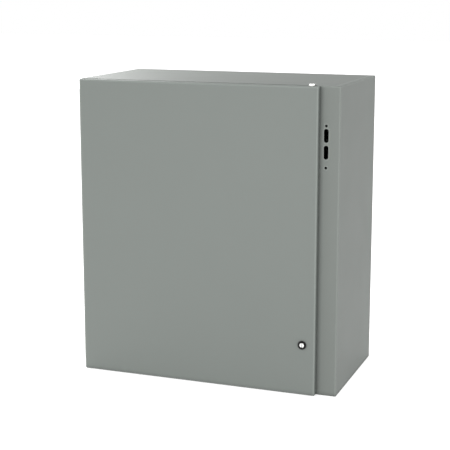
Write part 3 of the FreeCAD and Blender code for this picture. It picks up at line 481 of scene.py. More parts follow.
def glazed(name, look):
    material, tree, shader = newFinish(name)
    colour = look["colour"]
    clouds = blendColours(tree, grain(tree, look["unevenScale"], 4),
                          shade(colour, 1 - look["uneven"]), shade(colour, 1 + look["uneven"]))
    tree.links.new(clouds, shader.inputs["Base Color"])
    patches = grain(tree, look["roughScale"], 4)
    tree.links.new(spread(tree, patches, look["rough"], look["rough"] + 0.06),
                   shader.inputs["Roughness"])
    shader.inputs["Coat Weight"].default_value = look["coat"]
    shader.inputs["Coat Roughness"].default_value = look["coatRough"]
    shader.inputs["Alpha"].default_value = look["alpha"]
    bumps(tree, shader, [(grain(tree, look["rippleScale"], 2), look["rippleHeight"])])
    return material


# Soft insulation in the colour painted on each wire, a little dusty and uneven in gloss.
insulationLook = {
    "dust": (0.8, 0.8, 0.8),
    "dustScale": 60,
    "rough": 0.36,
    "roughScale": 45,
    "grainScale": 700,
    "grainHeight": 0.00003,
}


def wireInsulation(name, look):
    material, tree, shader = newFinish(name)
    paint = tree.nodes.new("ShaderNodeAttribute")
    paint.attribute_name = "wireColour"
    dust = tree.nodes.new("ShaderNodeMix")
    dust.data_type = "RGBA"
    dust.blend_type = "MULTIPLY"
    dust.inputs["Factor"].default_value = 1.0
    tree.links.new(paint.outputs["Color"], dust.inputs["A"])
    tree.links.new(blendColours(tree, grain(tree, look["dustScale"], 4), look["dust"], (1, 1, 1)),
                   dust.inputs["B"])
    tree.links.new(dust.outputs["Result"], shader.inputs["Base Color"])
    patches = grain(tree, look["roughScale"], 4)
    tree.links.new(spread(tree, patches, look["rough"], look["rough"] + 0.12),
                   shader.inputs["Roughness"])
    bumps(tree, shader, [(grain(tree, look["grainScale"], 2), look["grainHeight"])])
    return material


finishes = {  # the record's slot: the way it is finished, and what differs from the usual
    # the body's paint is set a little darker than the door's: painted shade that makes the side walls
    # read darker than the door front
    "enclosure_paint": (powderCoat, coatLook, {"colour": (0.142, 0.155, 0.144)}),
    "door_paint": (powderCoat, coatLook, {"colour": (0.147, 0.162, 0.151)}),
    "panel_paint": (powderCoat, coatLook, {"colour": (0.80, 0.80, 0.77), "rough": 0.38}),
    "zinc_plate": (platedSteel, steelLook, {"colour": (0.35, 0.36, 0.36), "rough": 0.36}),
    "stainless": (platedSteel, steelLook, {"colour": (0.31, 0.31, 0.305), "rough": 0.34}),
    "nickel_bright": (platedSteel, steelLook, {"colour": (0.84, 0.84, 0.82), "rough": 0.22}),
    "aluminium_lug": (platedSteel, steelLook, {"colour": (0.38, 0.39, 0.395), "rough": 0.42}),
    "silver_contact": (platedSteel, steelLook, {"colour": (0.48, 0.465, 0.435), "rough": 0.36}),
    "black_latch": (mouldedPlastic, plasticLook,
                    {"colour": (0.007, 0.007, 0.007), "rough": 0.5, "gloss": 0.12}),
    "pocket_plastic": (mouldedPlastic, plasticLook, {"colour": (0.36, 0.37, 0.37)}),
    "moulding_red": (mouldedPlastic, plasticLook,
                     {"colour": (0.30, 0.045, 0.03), "flow": 0.16, "rough": 0.48}),
    "black_moulding": (mouldedPlastic, plasticLook, {"colour": (0.022, 0.022, 0.023)}),
    "shaft_moulding": (mouldedPlastic, plasticLook, {"colour": (0.10, 0.07, 0.045), "flow": 0.2}),
    "handle_red": (mouldedPlastic, plasticLook, {"colour": (0.50, 0.018, 0.012), "rough": 0.34}),
    "case_grey": (mouldedPlastic, plasticLook, {"colour": (0.20, 0.21, 0.22), "rough": 0.46}),
    "terminal_plastic": (mouldedPlastic, plasticLook, {"colour": (0.56, 0.53, 0.43)}),
    "standoff_plastic": (mouldedPlastic, plasticLook, {"colour": (0.42, 0.03, 0.02)}),
    "button_test": (mouldedPlastic, plasticLook, {"colour": (0.01, 0.10, 0.38), "rough": 0.3}),
    "button_transfer": (mouldedPlastic, plasticLook, {"colour": (0.60, 0.40, 0.01), "rough": 0.3}),
    "button_reset": (mouldedPlastic, plasticLook, {"colour": (0.50, 0.014, 0.01), "rough": 0.3}),
    "loom_sleeve": (mouldedPlastic, plasticLook, {"colour": (0.02, 0.02, 0.02), "rough": 0.42}),
    "copper_bar": (drawnCopper, copperLook, {"colour": (0.62, 0.26, 0.13)}),
    "barrier_fibre": (fibreBoard, fibreLook, {"colour": (0.42, 0.36, 0.27)}),
    "coil_tape": (mouldedPlastic, plasticLook, {"colour": (0.55, 0.36, 0.03), "rough": 0.4}),
    "core_iron": (laminatedIron, ironLook, {"colour": (0.045, 0.042, 0.04)}),
    "gasket_foam": (closedCellFoam, foamLook, {"colour": (0.035, 0.035, 0.038)}),
    "screen_glass": (glazed, glazeLook, {"colour": (0.012, 0.02, 0.016)}),
    "lamp_lens": (glazed, glazeLook, {"colour": (0.03, 0.30, 0.05), "rough": 0.12}),
    "relay_clear": (glazed, glazeLook, {"colour": (0.75, 0.80, 0.80), "coat": 0.4, "alpha": 0.38}),
    "fuse_ceramic": (glazed, glazeLook, {"colour": (0.80, 0.77, 0.70), "rough": 0.16, "coat": 0.5}),
}

slotFinish = {}
for slotName, (recipe, usual, special) in finishes.items():
    slotFinish[slotName] = recipe(slotName, {**usual, **special})
print("finishes made:", len(slotFinish))


# CAD nodes take their finish; sawn and moulded ones also get a small rounding of their edges

softEdges = {  # millimetres of rounding
    "switch_base": 1.0, "normal_bus_bars": 0.6, "emergency_bus_bars": 0.6, "load_bus_bars": 0.6,
    "normal_lugs": 0.9, "emergency_lugs": 0.9, "load_lugs": 0.9, "phase_barriers": 0.4,
    "arc_chutes": 0.5, "shaft_bearing_plates": 0.4, "contact_blades": 0.5, "drive_crank": 0.7,
    "solenoid_frame": 0.5, "solenoid_plunger": 0.4, "relay_sockets": 0.8, "relay_covers": 1.2,
    "terminal_strip": 0.3, "fuse_block": 0.6, "transformer_core": 0.5, "neutral_bar": 0.7,
    "ground_bar": 0.7, "data_pocket": 0.5, "door_stiffener": 0.5, "latch_housing": 0.7,
    "latch_cam": 0.5, "latch_spindle": 0.4, "fixed_contacts": 0.3, "lug_screws": 0.5,
    "door_seal_tab": 0.4, "body_seal_tab": 0.4, "panel_nuts": 0.6, "bar_screws": 0.5,
    "terminal_screws": 0.3, "test_button": 0.9, "transfer_button": 0.9, "reset_button": 0.9,
    "status_lamps": 1.4, "fuses": 0.6, "manual_handle": 0.6, "base_spacers": 0.5,
    "panel_studs": 0.5, "bar_stands": 0.6, "controller_screen": 0.2,
}


def roundEdges(piece, width):
    weld = piece.modifiers.new("weld", "WELD")
    weld.merge_threshold = 0.00001
    bevel = piece.modifiers.new("roundedEdges", "BEVEL")
    bevel.width = width / 1000
    bevel.segments = 2
    bevel.limit_method = "ANGLE"
    bevel.angle_limit = math.radians(40)
    bevel.use_clamp_overlap = True
    bevel.harden_normals = True


for nodeName, piece in nodes.items():
    piece.data.materials.clear()
    piece.data.materials.append(slotFinish[slotOfNode[nodeName]])
    if nodeName in softEdges:
        roundEdges(piece, softEdges[nodeName])
print("CAD nodes finished")


# small tools for shapes

facingDoor = (Vector((1, 0, 0)), Vector((0, 0, 1)), Vector((0, -1, 0)))  # across, up, outwards
standingUp = (Vector((1, 0, 0)), Vector((0, 1, 0)), Vector((0, 0, 1)))
facingLeft = (Vector((0, 1, 0)), Vector((0, 0, 1)), Vector((-1, 0, 0)))
facingRight = (Vector((0, -1, 0)), Vector((0, 0, 1)), Vector((1, 0, 0)))
facingBack = (Vector((-1, 0, 0)), Vector((0, 0, 1)), Vector((0, 1, 0)))


def circle(radius, count=32):
    turn = 2 * math.pi / count
    return [(radius * math.cos(k * turn), radius * math.sin(k * turn)) for k in range(count)]


# a hexagon with as many points as the circle it may be joined to
def sixSided(flats, count=36):
    outline = []
    for k in range(count):
        angle = 2 * math.pi * k / count
        fold = (angle + math.pi / 6) % (math.pi / 3) - math.pi / 6
        reach = flats / 2 / math.cos(fold)
        outline.append((reach * math.cos(angle), reach * math.sin(angle)))
    return outline


def roundedRectangle(wide, tall, radius, perCorner=6):
    outline = []
    corners = ((1, 1, 0), (-1, 1, 1), (-1, -1, 2), (1, -1, 3))
    for sideX, sideY, quarter in corners:
        middle = (sideX * (wide / 2 - radius), sideY * (tall / 2 - radius))
        for k in range(perCorner + 1):
            angle = math.pi / 2 * (quarter + k / perCorner)
            outline.append((middle[0] + radius * math.cos(angle),
                            middle[1] + radius * math.sin(angle)))
    return outline


# joins outlines of equal length, each at its own height; hollow joins the last to the first
def stack(bm, at, axes, layers, hollow=False):
    across, up, outwards = axes
    rings = []
    for outline, height in layers:
        rings.append([bm.verts.new(at + across * a + up * b + outwards * height)
                      for a, b in outline])
    pairs = list(zip(rings, rings[1:] + rings[:1])) if hollow else list(zip(rings, rings[1:]))
    for low, high in pairs:
        for k in range(len(low)):
            after = (k + 1) % len(low)
            bm.faces.new((low[k], low[after], high[after], high[k]))
    if not hollow:
        bm.faces.new(list(reversed(rings[0])))
        bm.faces.new(rings[-1])
    return [vert for ring in rings for vert in ring]


# a round tube of one radius along a line of points
def tube(bm, line, radius, sides=10):
    rings = []
    for k, point in enumerate(line):
        ahead = line[min(k + 1, len(line) - 1)] - line[max(k - 1, 0)]
        ahead.normalize()
        aside = ahead.cross(Vector((0, 1, 0.013))).normalized()
        over = aside.cross(ahead)
        rings.append([bm.verts.new(point + aside * (radius * a) + over * (radius * b))
                      for a, b in circle(1, sides)])
    for low, high in zip(rings, rings[1:]):
        for k in range(sides):
            after = (k + 1) % sides
            bm.faces.new((low[k], low[after], high[after], high[k]))
    bm.faces.new(list(reversed(rings[0])))
    bm.faces.new(rings[-1])
    return [vert for ring in rings for vert in ring]


# the points of a smooth line that is led by a few control points
def smoothLine(points, steps=20):
    curve = bpy.data.curves.new("guide", "CURVE")
    curve.dimensions = "3D"
    curve.resolution_u = steps
    spline = curve.splines.new("NURBS")
    spline.points.add(len(points) - 1)
    for control, point in zip(spline.points, points):
        control.co = (*point, 1)
    spline.order_u = 3
    spline.use_endpoint_u = True
    guide = bpy.data.objects.new("guide", curve)
    mesh = bpy.data.meshes.new_from_object(guide)
    line = [vert.co.copy() for vert in mesh.vertices]
    bpy.data.objects.remove(guide)
    bpy.data.curves.remove(curve)
    bpy.data.meshes.remove(mesh)
    return line


def makePiece(name, bm, slotName, body, sharp=38):
    bmesh.ops.recalc_face_normals(bm, faces=bm.faces)
    mesh = bpy.data.meshes.new(name)
    bm.to_mesh(mesh)
    bm.free()
    mesh.polygons.foreach_set("use_smooth", [True] * len(mesh.polygons))
    mesh.set_sharp_from_angle(angle=math.radians(sharp))
    piece = bpy.data.objects.new(name, mesh)
    bpy.context.scene.collection.objects.link(piece)
    mesh.materials.append(slotFinish[slotName])
    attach(piece, body)
    return piece


def middleOf(node):
    low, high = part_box(node)
    return (low + high) / 2


# a hexagon bolt head with a chamfered top on a plain washer
def hexBolt(bm, at, axes, flats, headHigh, washer, washerHigh=0.0015):
    stack(bm, at, axes, [(circle(washer, 36), 0), (circle(washer, 36), washerHigh * 0.7),
                         (circle(washer * 0.96, 36), washerHigh)])
    top = washerHigh + headHigh
    stack(bm, at, axes, [
        (sixSided(flats), washerHigh), (sixSided(flats), top - headHigh * 0.22),
        (circle(flats * 0.49, 36), top), (circle(flats * 0.34, 36), top),
        (circle(flats * 0.31, 36), top - headHigh * 0.06)])


# a low round head with a driver slot: two half-moons on a disc
def slottedHead(bm, at, axes, radius, high, turned=0.0):
    stack(bm, at, axes, [(circle(radius, 28), 0), (circle(radius, 28), high * 0.45)])
    gap = radius * 0.16
    for side in (0, math.pi):
        halves = []
        for scale, level in ((1.0, high * 0.45), (1.0, high * 0.75), (0.86, high)):
            reach = radius * scale
            start = math.asin(gap / reach)
            outline = []
            for k in range(13):
                angle = start + (math.pi - 2 * start) * k / 12 + side + turned
                outline.append((reach * math.cos(angle), reach * math.sin(angle)))
            halves.append((outline, level))
        stack(bm, at, axes, halves)


# foam gasket: a crowned bead poured round the inside of the door, highest where its ends meet

gasketLook = {
    "beadWide": 0.012,
    "cornerRadius": 0.016,
    "usualHeight": 0.0056,
    "wave": 0.00018,  # unevenness of the pour
    "joinAt": 0.42,  # metres along the bead from its start
    "joinReach": 0.009,
    "joinRise": 0.0002,
    "step": 0.007,
    "fill": 0.75,
}


def makeGasket(look):
    low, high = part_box("door_gasket")
    half = look["beadWide"] / 2
    wide = high.x - low.x - 2 * half
    tall = high.z - low.z - 2 * half
    corners = roundedRectangle(wide, tall, look["cornerRadius"], 8)
    centre = (low + high) / 2
    path = []
    for k, here in enumerate(corners):
        there = corners[(k + 1) % len(corners)]
        length = math.dist(here, there)
        pieces = max(1, round(length / look["step"]))
        for n in range(pieces):
            path.append((here[0] + (there[0] - here[0]) * n / pieces,
                         here[1] + (there[1] - here[1]) * n / pieces))
    section = ((-1, 0), (-1, 0.34), (-0.90, 0.62), (-0.66, 0.86), (-0.30, 0.98), (0, 1),
               (0.30, 0.98), (0.66, 0.86), (0.90, 0.62), (1, 0.34), (1, 0))
    bm = bmesh.new()
    rings = []
    run = 0.0
    for k, point in enumerate(path):
        before, after = path[k - 1], path[(k + 1) % len(path)]
        along = Vector((after[0] - before[0], after[1] - before[1])).normalized()
        outward = Vector((along.y, -along.x))
        run += math.dist(point, before) if k else 0
        join = math.exp(-((run - look["joinAt"]) / look["joinReach"]) ** 2)
        crown = look["usualHeight"] + look["wave"] * math.sin(run * 61) * math.sin(run * 23 + 1)
        crown += join * look["joinRise"]
        ring = []
        for side, rise in section:
            reach = side * half * (0.985 - 0.02 * math.sin(run * 47))
            ring.append(bm.verts.new((centre.x + point[0] + outward.x * reach,
                                      low.y + rise * crown,
                                      centre.z + point[1] + outward.y * reach)))
        rings.append(ring)
    for here, there in zip(rings, rings[1:] + rings[:1]):
        for k in range(len(section)):
            after = (k + 1) % len(section)
            bm.faces.new((here[k], here[after], there[after], there[k]))
    bead = makePiece("gasketBead", bm, "gasket_foam", "door")
    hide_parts("door_gasket")


makeGasket(gasketLook)
print("gasket poured")


# control wiring: bundles of seven coloured wires with ties, and single wires to the terminals

loomLook = {
    "wireRadius": 0.00125,
    "ringRadius": 0.0028,
    "twist": 26,  # radians of twist in a metre
    "bend": 0.024,
    "step": 0.006,
    "aside": 0.055,  # from the strip's middle to the upright bundle
    "entryUp": 0.09,  # from the strip's foot to where its wires leave
    "colours": ((0.02, 0.02, 0.02), (0.50, 0.02, 0.015), (0.02, 0.09, 0.40), (0.62, 0.60, 0.55),
                (0.55, 0.36, 0.01), (0.03, 0.24, 0.05), (0.40, 0.13, 0.02)),
    "tieEvery": 0.055,
    "tieWide": 0.0026,
    "tieRadius": 0.0046,
    "tieThick": 0.0009,
    "tieHead": (0.003, 0.0044, 0.0006),  # across, along and corner radius
}


def loomRoutes(look):
    strip = middleOf("terminal_strip")
    stripLow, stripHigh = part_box("terminal_strip")
    caseLow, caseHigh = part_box("controller_case")
    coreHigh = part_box("transformer_core")[1]
    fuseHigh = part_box("fuse_block")[1]
    level = middleOf("wiring_loom").y
    aside = strip.x + look["aside"]
    entry = stripLow.z + look["entryUp"]
    across = middleOf("status_lamps").z
    core = middleOf("transformer_core").x
    return (
        ((stripHigh.x, level, entry), (aside, level, entry), (aside, level, caseLow.z)),
        ((caseHigh.x, level, across), (core, level, across), (core, level, coreHigh.z)),
        ((strip.x, level, stripLow.z), (strip.x, level, fuseHigh.z)),
    )


# extra control points close to each corner keep the straight runs straight
def eased(route, bend):
    points = [Vector(route[0])]
    for before, corner, after in zip(route, route[1:], route[2:]):
        corner = Vector(corner)
        points.append(corner + (Vector(before) - corner).normalized() * bend)
        points.append(corner)
        points.append(corner + (Vector(after) - corner).normalized() * bend)
    points.append(Vector(route[-1]))
    return points


def spacedOut(line, step):
    points = [line[0]]
    for here, there in zip(line, line[1:]):
        pieces = max(1, round((there - here).length / step))
        points += [here.lerp(there, k / pieces) for k in range(1, pieces + 1)]
    return points


def makeLoom(look):
    bm = bmesh.new()
    paint = bm.verts.layers.float_color.new("wireColour")
    ties = bmesh.new()
    for number, route in enumerate(loomRoutes(look)):
        line = spacedOut(smoothLine(eased(route, look["bend"])), look["step"])
        runs = [0.0]
        for here, there in zip(line, line[1:]):
            runs.append(runs[-1] + (there - here).length)
        for wire, colour in enumerate(look["colours"]):
            strand = []
            for k, point in enumerate(line):
                ahead = (line[min(k + 1, len(line) - 1)] - line[max(k - 1, 0)]).normalized()
                over = Vector((0, 1, 0))
                aside = ahead.cross(over)
                angle = wire * math.pi / 3 + look["twist"] * runs[k] + number
                reach = look["ringRadius"] if wire < 6 else 0
                wobble = 1 + 0.06 * math.sin(runs[k] * 90 + wire * 2)
                strand.append(point + (aside * math.cos(angle) + over * math.sin(angle))
                              * reach * wobble)
            for vert in tube(bm, strand, look["wireRadius"], 8):
                vert[paint] = (*colour, 1)
        count = int(runs[-1] / look["tieEvery"])
        for n in range(count):
            target = (n + 0.6) * look["tieEvery"]
            k = min(range(len(runs)), key=lambda index: abs(runs[index] - target))
            ahead = (line[min(k + 1, len(line) - 1)] - line[k - 1]).normalized()
            axes = (Vector((0, 1, 0)), ahead.cross(Vector((0, 1, 0))), ahead)
            wide = look["tieWide"] / 2
            outer, inner = look["tieRadius"], look["tieRadius"] - look["tieThick"]
            stack(ties, line[k], axes, [
                (circle(outer * 0.97, 24), -wide), (circle(outer, 24), -wide * 0.6),
                (circle(outer, 24), wide * 0.6), (circle(outer * 0.97, 24), wide),
                (circle(inner, 24), wide), (circle(inner, 24), -wide)], hollow=True)
            head = line[k] + Vector((0, -outer - 0.0006, 0))
            block = roundedRectangle(*look["tieHead"], 3)
            stack(ties, head, axes, [(block, -wide * 1.5), (block, wide * 1.5)])
    wires = makePiece("loomWires", bm, "loom_sleeve", "enclosure")
    wires.data.materials[0] = wireInsulation("wire_insulation", insulationLook)
    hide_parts("wiring_loom")
    makePiece("loomTies", ties, "loom_sleeve", "enclosure")


terminalLook = {
    "count": 10,
    "wireRadius": 0.0012,
    "wireInset": 0.008,  # behind the strip's front
    "ferruleRadii": (0.0014, 0.0019),
    "ferruleLong": 0.007,
    "tabSize": (0.0062, 0.0120, 0.0046),
    "tabCorner": 0.001,
}


# a wire from every right-hand terminal screw, gathering at the start of the bundle
def makeTerminalWires(look):
    low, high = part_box("terminal_strip")
    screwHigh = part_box("terminal_screws")[1]
    gather = Vector(loomRoutes(loomLook)[0][0])
    colours = loomLook["colours"]
    pitch = (high.z - low.z) / look["count"]
    middle = (look["count"] - 1) / 2
    thin, thick = look["ferruleRadii"]
    bm = bmesh.new()
    paint = bm.verts.layers.float_color.new("wireColour")
    ferrules = bmesh.new()
    tabs = bmesh.new()
    for n in range(look["count"]):
        up = low.z + pitch * (n + 0.5)
        start = Vector((screwHigh.x + 0.0005, low.y + look["wireInset"], up))
        away = up - gather.z
        out = 0.010 + 0.0016 * abs(n - middle)
        points = (start, start + Vector((0.006, 0, 0)),
                  start + Vector((out + 0.004, -0.001, -away * 0.15)),
                  Vector((gather.x + out * 0.9, gather.y - 0.003, gather.z + away * 0.45)),
                  gather + Vector((0.013, 0, away * 0.03)),
                  gather + Vector((0.026, 0.0005 * (n - middle), 0.0004 * (n - middle))))
        colour = colours[n % len(colours)]
        for vert in tube(bm, smoothLine(points, 10), look["wireRadius"], 8):
            vert[paint] = (*colour, 1)
        stack(ferrules, start, facingRight, [
            (circle(thin, 16), -0.003), (circle(thin, 16), 0.001),
            (circle(thick, 16), 0.002), (circle(thick, 16), look["ferruleLong"])])
        wide, tall, deep = look["tabSize"]
        face = roundedRectangle(wide, tall, look["tabCorner"], 3)
        crest = roundedRectangle(wide * 0.86, tall * 0.93, look["tabCorner"], 3)
        spot = Vector(((low.x + high.x) / 2, (low.y + high.y) / 2, up))
        stack(tabs, spot, facingDoor, [(face, 0), (face, deep * 0.85), (crest, deep)])
    wires = makePiece("terminalWires", bm, "loom_sleeve", "enclosure")
    wires.data.materials[0] = bpy.data.materials["wire_insulation"]
    makePiece("wireFerrules", ferrules, "nickel_bright", "enclosure")
    makePiece("terminalTabs", tabs, "panel_paint", "enclosure")


makeLoom(loomLook)
makeTerminalWires(terminalLook)
print("wiring laid")


# solenoid: a flanged bobbin wound with overlapping tape

solenoidLook = {
    "bore": 0.0073,
    "flangeThick": 0.0022,
    "tapeStep": 0.0072,
    "tapeEdge": 0.0004,
    "waist": 0.0022,  # how far the winding stays inside the flanges
}


def makeSolenoid(look):
    low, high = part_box("solenoid_coil")
    at = Vector(((low.x + high.x) / 2, (low.y + high.y) / 2, low.z))
    tall, radius, bore = high.z - low.z, (high.x - low.x) / 2, look["bore"]
    flange = look["flangeThick"]
    bobbin = bmesh.new()
    for level in (0, tall - flange):
        stack(bobbin, at, standingUp, [
            (circle(bore, 48), level), (circle(radius * 0.985, 48), level),
            (circle(radius, 48), level + flange * 0.25),
            (circle(radius, 48), level + flange * 0.75),
            (circle(radius * 0.985, 48), level + flange), (circle(bore, 48), level + flange)],
            hollow=True)
    makePiece("solenoidBobbin", bobbin, "black_moulding", "enclosure")
    winding = bmesh.new()
    count, rows = 48, 110
    layers = [(circle(bore + 0.001, count), flange)]
    for row in range(rows + 1):
        level = flange + (tall - 2 * flange) * row / rows
        outline = []
        for k in range(count):
            lap = (level / look["tapeStep"] + k / count) % 1.0
            reach = radius - look["waist"] + look["tapeEdge"] * (1 - lap)
            angle = 2 * math.pi * k / count
            outline.append((reach * math.cos(angle), reach * math.sin(angle)))
        layers.append((outline, level))
    layers.append((circle(bore + 0.001, count), tall - flange))
    stack(winding, at, standingUp, layers, hollow=True)
    coil = makePiece("solenoidWinding", winding, "coil_tape", "enclosure", 60)
    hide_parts("solenoid_coil")


makeSolenoid(solenoidLook)


# control transformer: taped winding round the middle limb, end plates and solder tabs

transformerLook = {
    "limbGap": (0.0212, 0.0664),  # the hole for the limb, across and deep
    "plateThick": 0.0016,
    "tapeStep": 0.0095,
    "tapeEdge": 0.0005,
    "corner": 0.009,
    "belly": 0.0009,
    "tabCount": 4,
    "tabPitch": 0.012,
    "tabSize": (0.0045, 0.0008, 0.010),
}


def makeTransformer(look):
    low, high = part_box("transformer_coil")
    at = Vector(((low.x + high.x) / 2, (low.y + high.y) / 2, low.z))
    wide, deep, tall = high.x - low.x, high.y - low.y, high.z - low.z
    hole = roundedRectangle(*look["limbGap"], 0.001, 6)
    plate = look["plateThick"]
    plates = bmesh.new()
    for level in (0, tall - plate):
        outer = roundedRectangle(wide, deep, 0.004, 6)
        stack(plates, at, standingUp, [(hole, level), (outer, level), (outer, level + plate),
                                       (hole, level + plate)], hollow=True)
    makePiece("transformerPlates", plates, "black_moulding", "enclosure")
    winding = bmesh.new()
    rows = 60
    layers = [(hole, plate)]
    for row in range(rows + 1):
        level = plate + (tall - 2 * plate) * row / rows
        lap = (level / look["tapeStep"]) % 1.0
        shrink = 2 * (0.0018 - look["tapeEdge"] * (1 - lap))
        belly = look["belly"] * math.sin(math.pi * row / rows)
        layers.append((roundedRectangle(wide - shrink - 0.001, deep - shrink + belly - 0.001,
                                        look["corner"], 6), level))
    layers.append((hole, tall - plate))
    stack(winding, at, standingUp, layers, hollow=True)
    coil = makePiece("transformerWinding", winding, "coil_tape", "enclosure", 60)
    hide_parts("transformer_coil")
    tabs = bmesh.new()
    across, thick, long = look["tabSize"]
    for n in range(look["tabCount"]):
        aside = (n - (look["tabCount"] - 1) / 2) * look["tabPitch"]
        spot = Vector((at.x + aside, low.y + 0.005, high.z))
        stack(tabs, spot, standingUp, [
            (roundedRectangle(across, thick, 0.0003, 2), -0.0004),
            (roundedRectangle(across, thick, 0.0003, 2), long * 0.75),
            (roundedRectangle(across * 0.55, thick, 0.0002, 2), long)])
    makePiece("solderTabs", tabs, "nickel_bright", "enclosure")


makeTransformer(transformerLook)
print("coils wound")


# moulded ribs on the base, in line with the barriers

ribLook = {"count": 4, "wide": 0.005, "high": 0.004, "gapToBarrier": 0.006, "margin": 0.014,
           "barrierThick": 0.003}


def makeBaseRibs(look):
    low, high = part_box("switch_base")
    wallLow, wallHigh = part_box("phase_barriers")
    half = look["barrierThick"] / 2
    first, last = wallLow.x + half, wallHigh.x - half
    spans = ((low.z + look["margin"], wallLow.z - look["gapToBarrier"]),
             (wallHigh.z + look["gapToBarrier"], high.z - look["margin"]))
    bm = bmesh.new()
    wide, rise = look["wide"], look["high"]
    for n in range(look["count"]):
        for bottom, top in spans:
            along = n / (look["count"] - 1)
            at = Vector((first + (last - first) * along, low.y, (bottom + top) / 2))
            tall = top - bottom
            stack(bm, at, facingDoor, [
                (roundedRectangle(wide * 1.3, tall, 0.0022, 5), 0),
                (roundedRectangle(wide, tall - 0.0015, 0.0022, 5), rise * 0.8),
                (roundedRectangle(wide * 0.7, tall - 0.003, 0.0016, 5), rise)])
    makePiece("baseRibs", bm, "moulding_red", "enclosure")


makeBaseRibs(ribLook)


# bolts that hold the bars and the base

boltLook = {
    "barBolt": {"flats": 0.013, "headHigh": 0.0055, "washer": 0.0088},
    "loadBolt": {"flats": 0.010, "headHigh": 0.0045, "washer": 0.0070},
    "baseBolt": {"flats": 0.017, "headHigh": 0.0070, "washer": 0.0125},
    "fromEnd": (0.092, 0.054),  # from the end of a normal or emergency bar
    "loadUp": (0.066, 0.150),  # from the foot of a load bar
    "loadAside": 0.028,
    "lugWide": 0.032,
    "barFront": 0.006,  # front of the flat bars, ahead of the base
    "baseInset": 0.012,
}


def makeBolts(look):
    bm = bmesh.new()
    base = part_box("switch_base")[0].y
    face = base - look["barFront"]
    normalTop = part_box("normal_bus_bars")[1].z
    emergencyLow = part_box("emergency_bus_bars")[0].z
    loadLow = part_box("load_bus_bars")[0].z
    lugsLow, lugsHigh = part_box("normal_lugs")
    pitch = (lugsHigh.x - lugsLow.x - look["lugWide"]) / 2
    for pole in (-1, 0, 1):
        x = pole * pitch
        for away in look["fromEnd"]:
            for z in (normalTop - away, emergencyLow + away):
                hexBolt(bm, Vector((x, face, z)), facingDoor, **look["barBolt"])
        for up in look["loadUp"]:
            hexBolt(bm, Vector((x + look["loadAside"], face, loadLow + up)), facingDoor,
                    **look["loadBolt"])
    low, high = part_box("base_spacers")
    inset = look["baseInset"]
    for x in (low.x + inset, high.x - inset):
        for z in (low.z + inset, high.z - inset):
            hexBolt(bm, Vector((x, base, z)), facingDoor, **look["baseBolt"])
    makePiece("clampBolts", bm, "zinc_plate", "enclosure")


makeBolts(boltLook)


# fuse ends: pressed metal caps with a rolled edge

fuseLook = {"capLong": 0.0085, "capProud": 0.00025, "roll": 0.0004}


def makeFuseCaps(look):
    low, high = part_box("fuses")
    radius = (high.y - low.y) / 2
    bm = bmesh.new()
    for side in (-1, 0, 1):
        x = (low.x + high.x) / 2 + side * ((high.x - low.x) / 2 - radius)
        for end, way in ((low.z, 1), (high.z, -1)):
            proud = radius + look["capProud"]
            at = Vector((x, (low.y + high.y) / 2, end))
            stack(bm, at, standingUp, [
                (circle(radius * 0.7, 40), -way * 0.0004),
                (circle(radius * 0.93, 40), -way * 0.0004), (circle(proud, 40), way * 0.0006),
                (circle(proud, 40), way * (look["capLong"] - 0.001)),
                (circle(proud + look["roll"], 40), way * (look["capLong"] - 0.0005)),
                (circle(radius * 0.98, 40), way * look["capLong"])])
    makePiece("fuseCaps", bm, "nickel_bright", "enclosure")


makeFuseCaps(fuseLook)


# controller: screen bezel, rings round buttons and lamps, blank legend plates, cover screws

controllerLook = {
    "bezelWide": 0.0045,
    "bezelProud": 0.0022,
    "ringInside": 0.0064,
    "ringWide": 0.0016,
    "ringProud": 0.0016,
    "lampRing": (0.0042, 0.0054, 0.0058),  # hole, crest and foot
    "lampRingProud": 0.001,
    "lampRadius": 0.004,
    "lampPlate": {"below": 0.0115, "wide": 0.013, "tall": 0.0045},
    "buttonPlate": {"below": 0.0075, "wide": 0.020, "tall": 0.006},
    "plateThick": 0.0006,
    "screwRadius": 0.0032,
    "screwHigh": 0.0016,
    "screwInset": 0.0085,
    "ribCount": 9,
    "ribPitch": 0.0062,
    "firstRibUp": 0.045,
    "ribHigh": 0.0009,
}


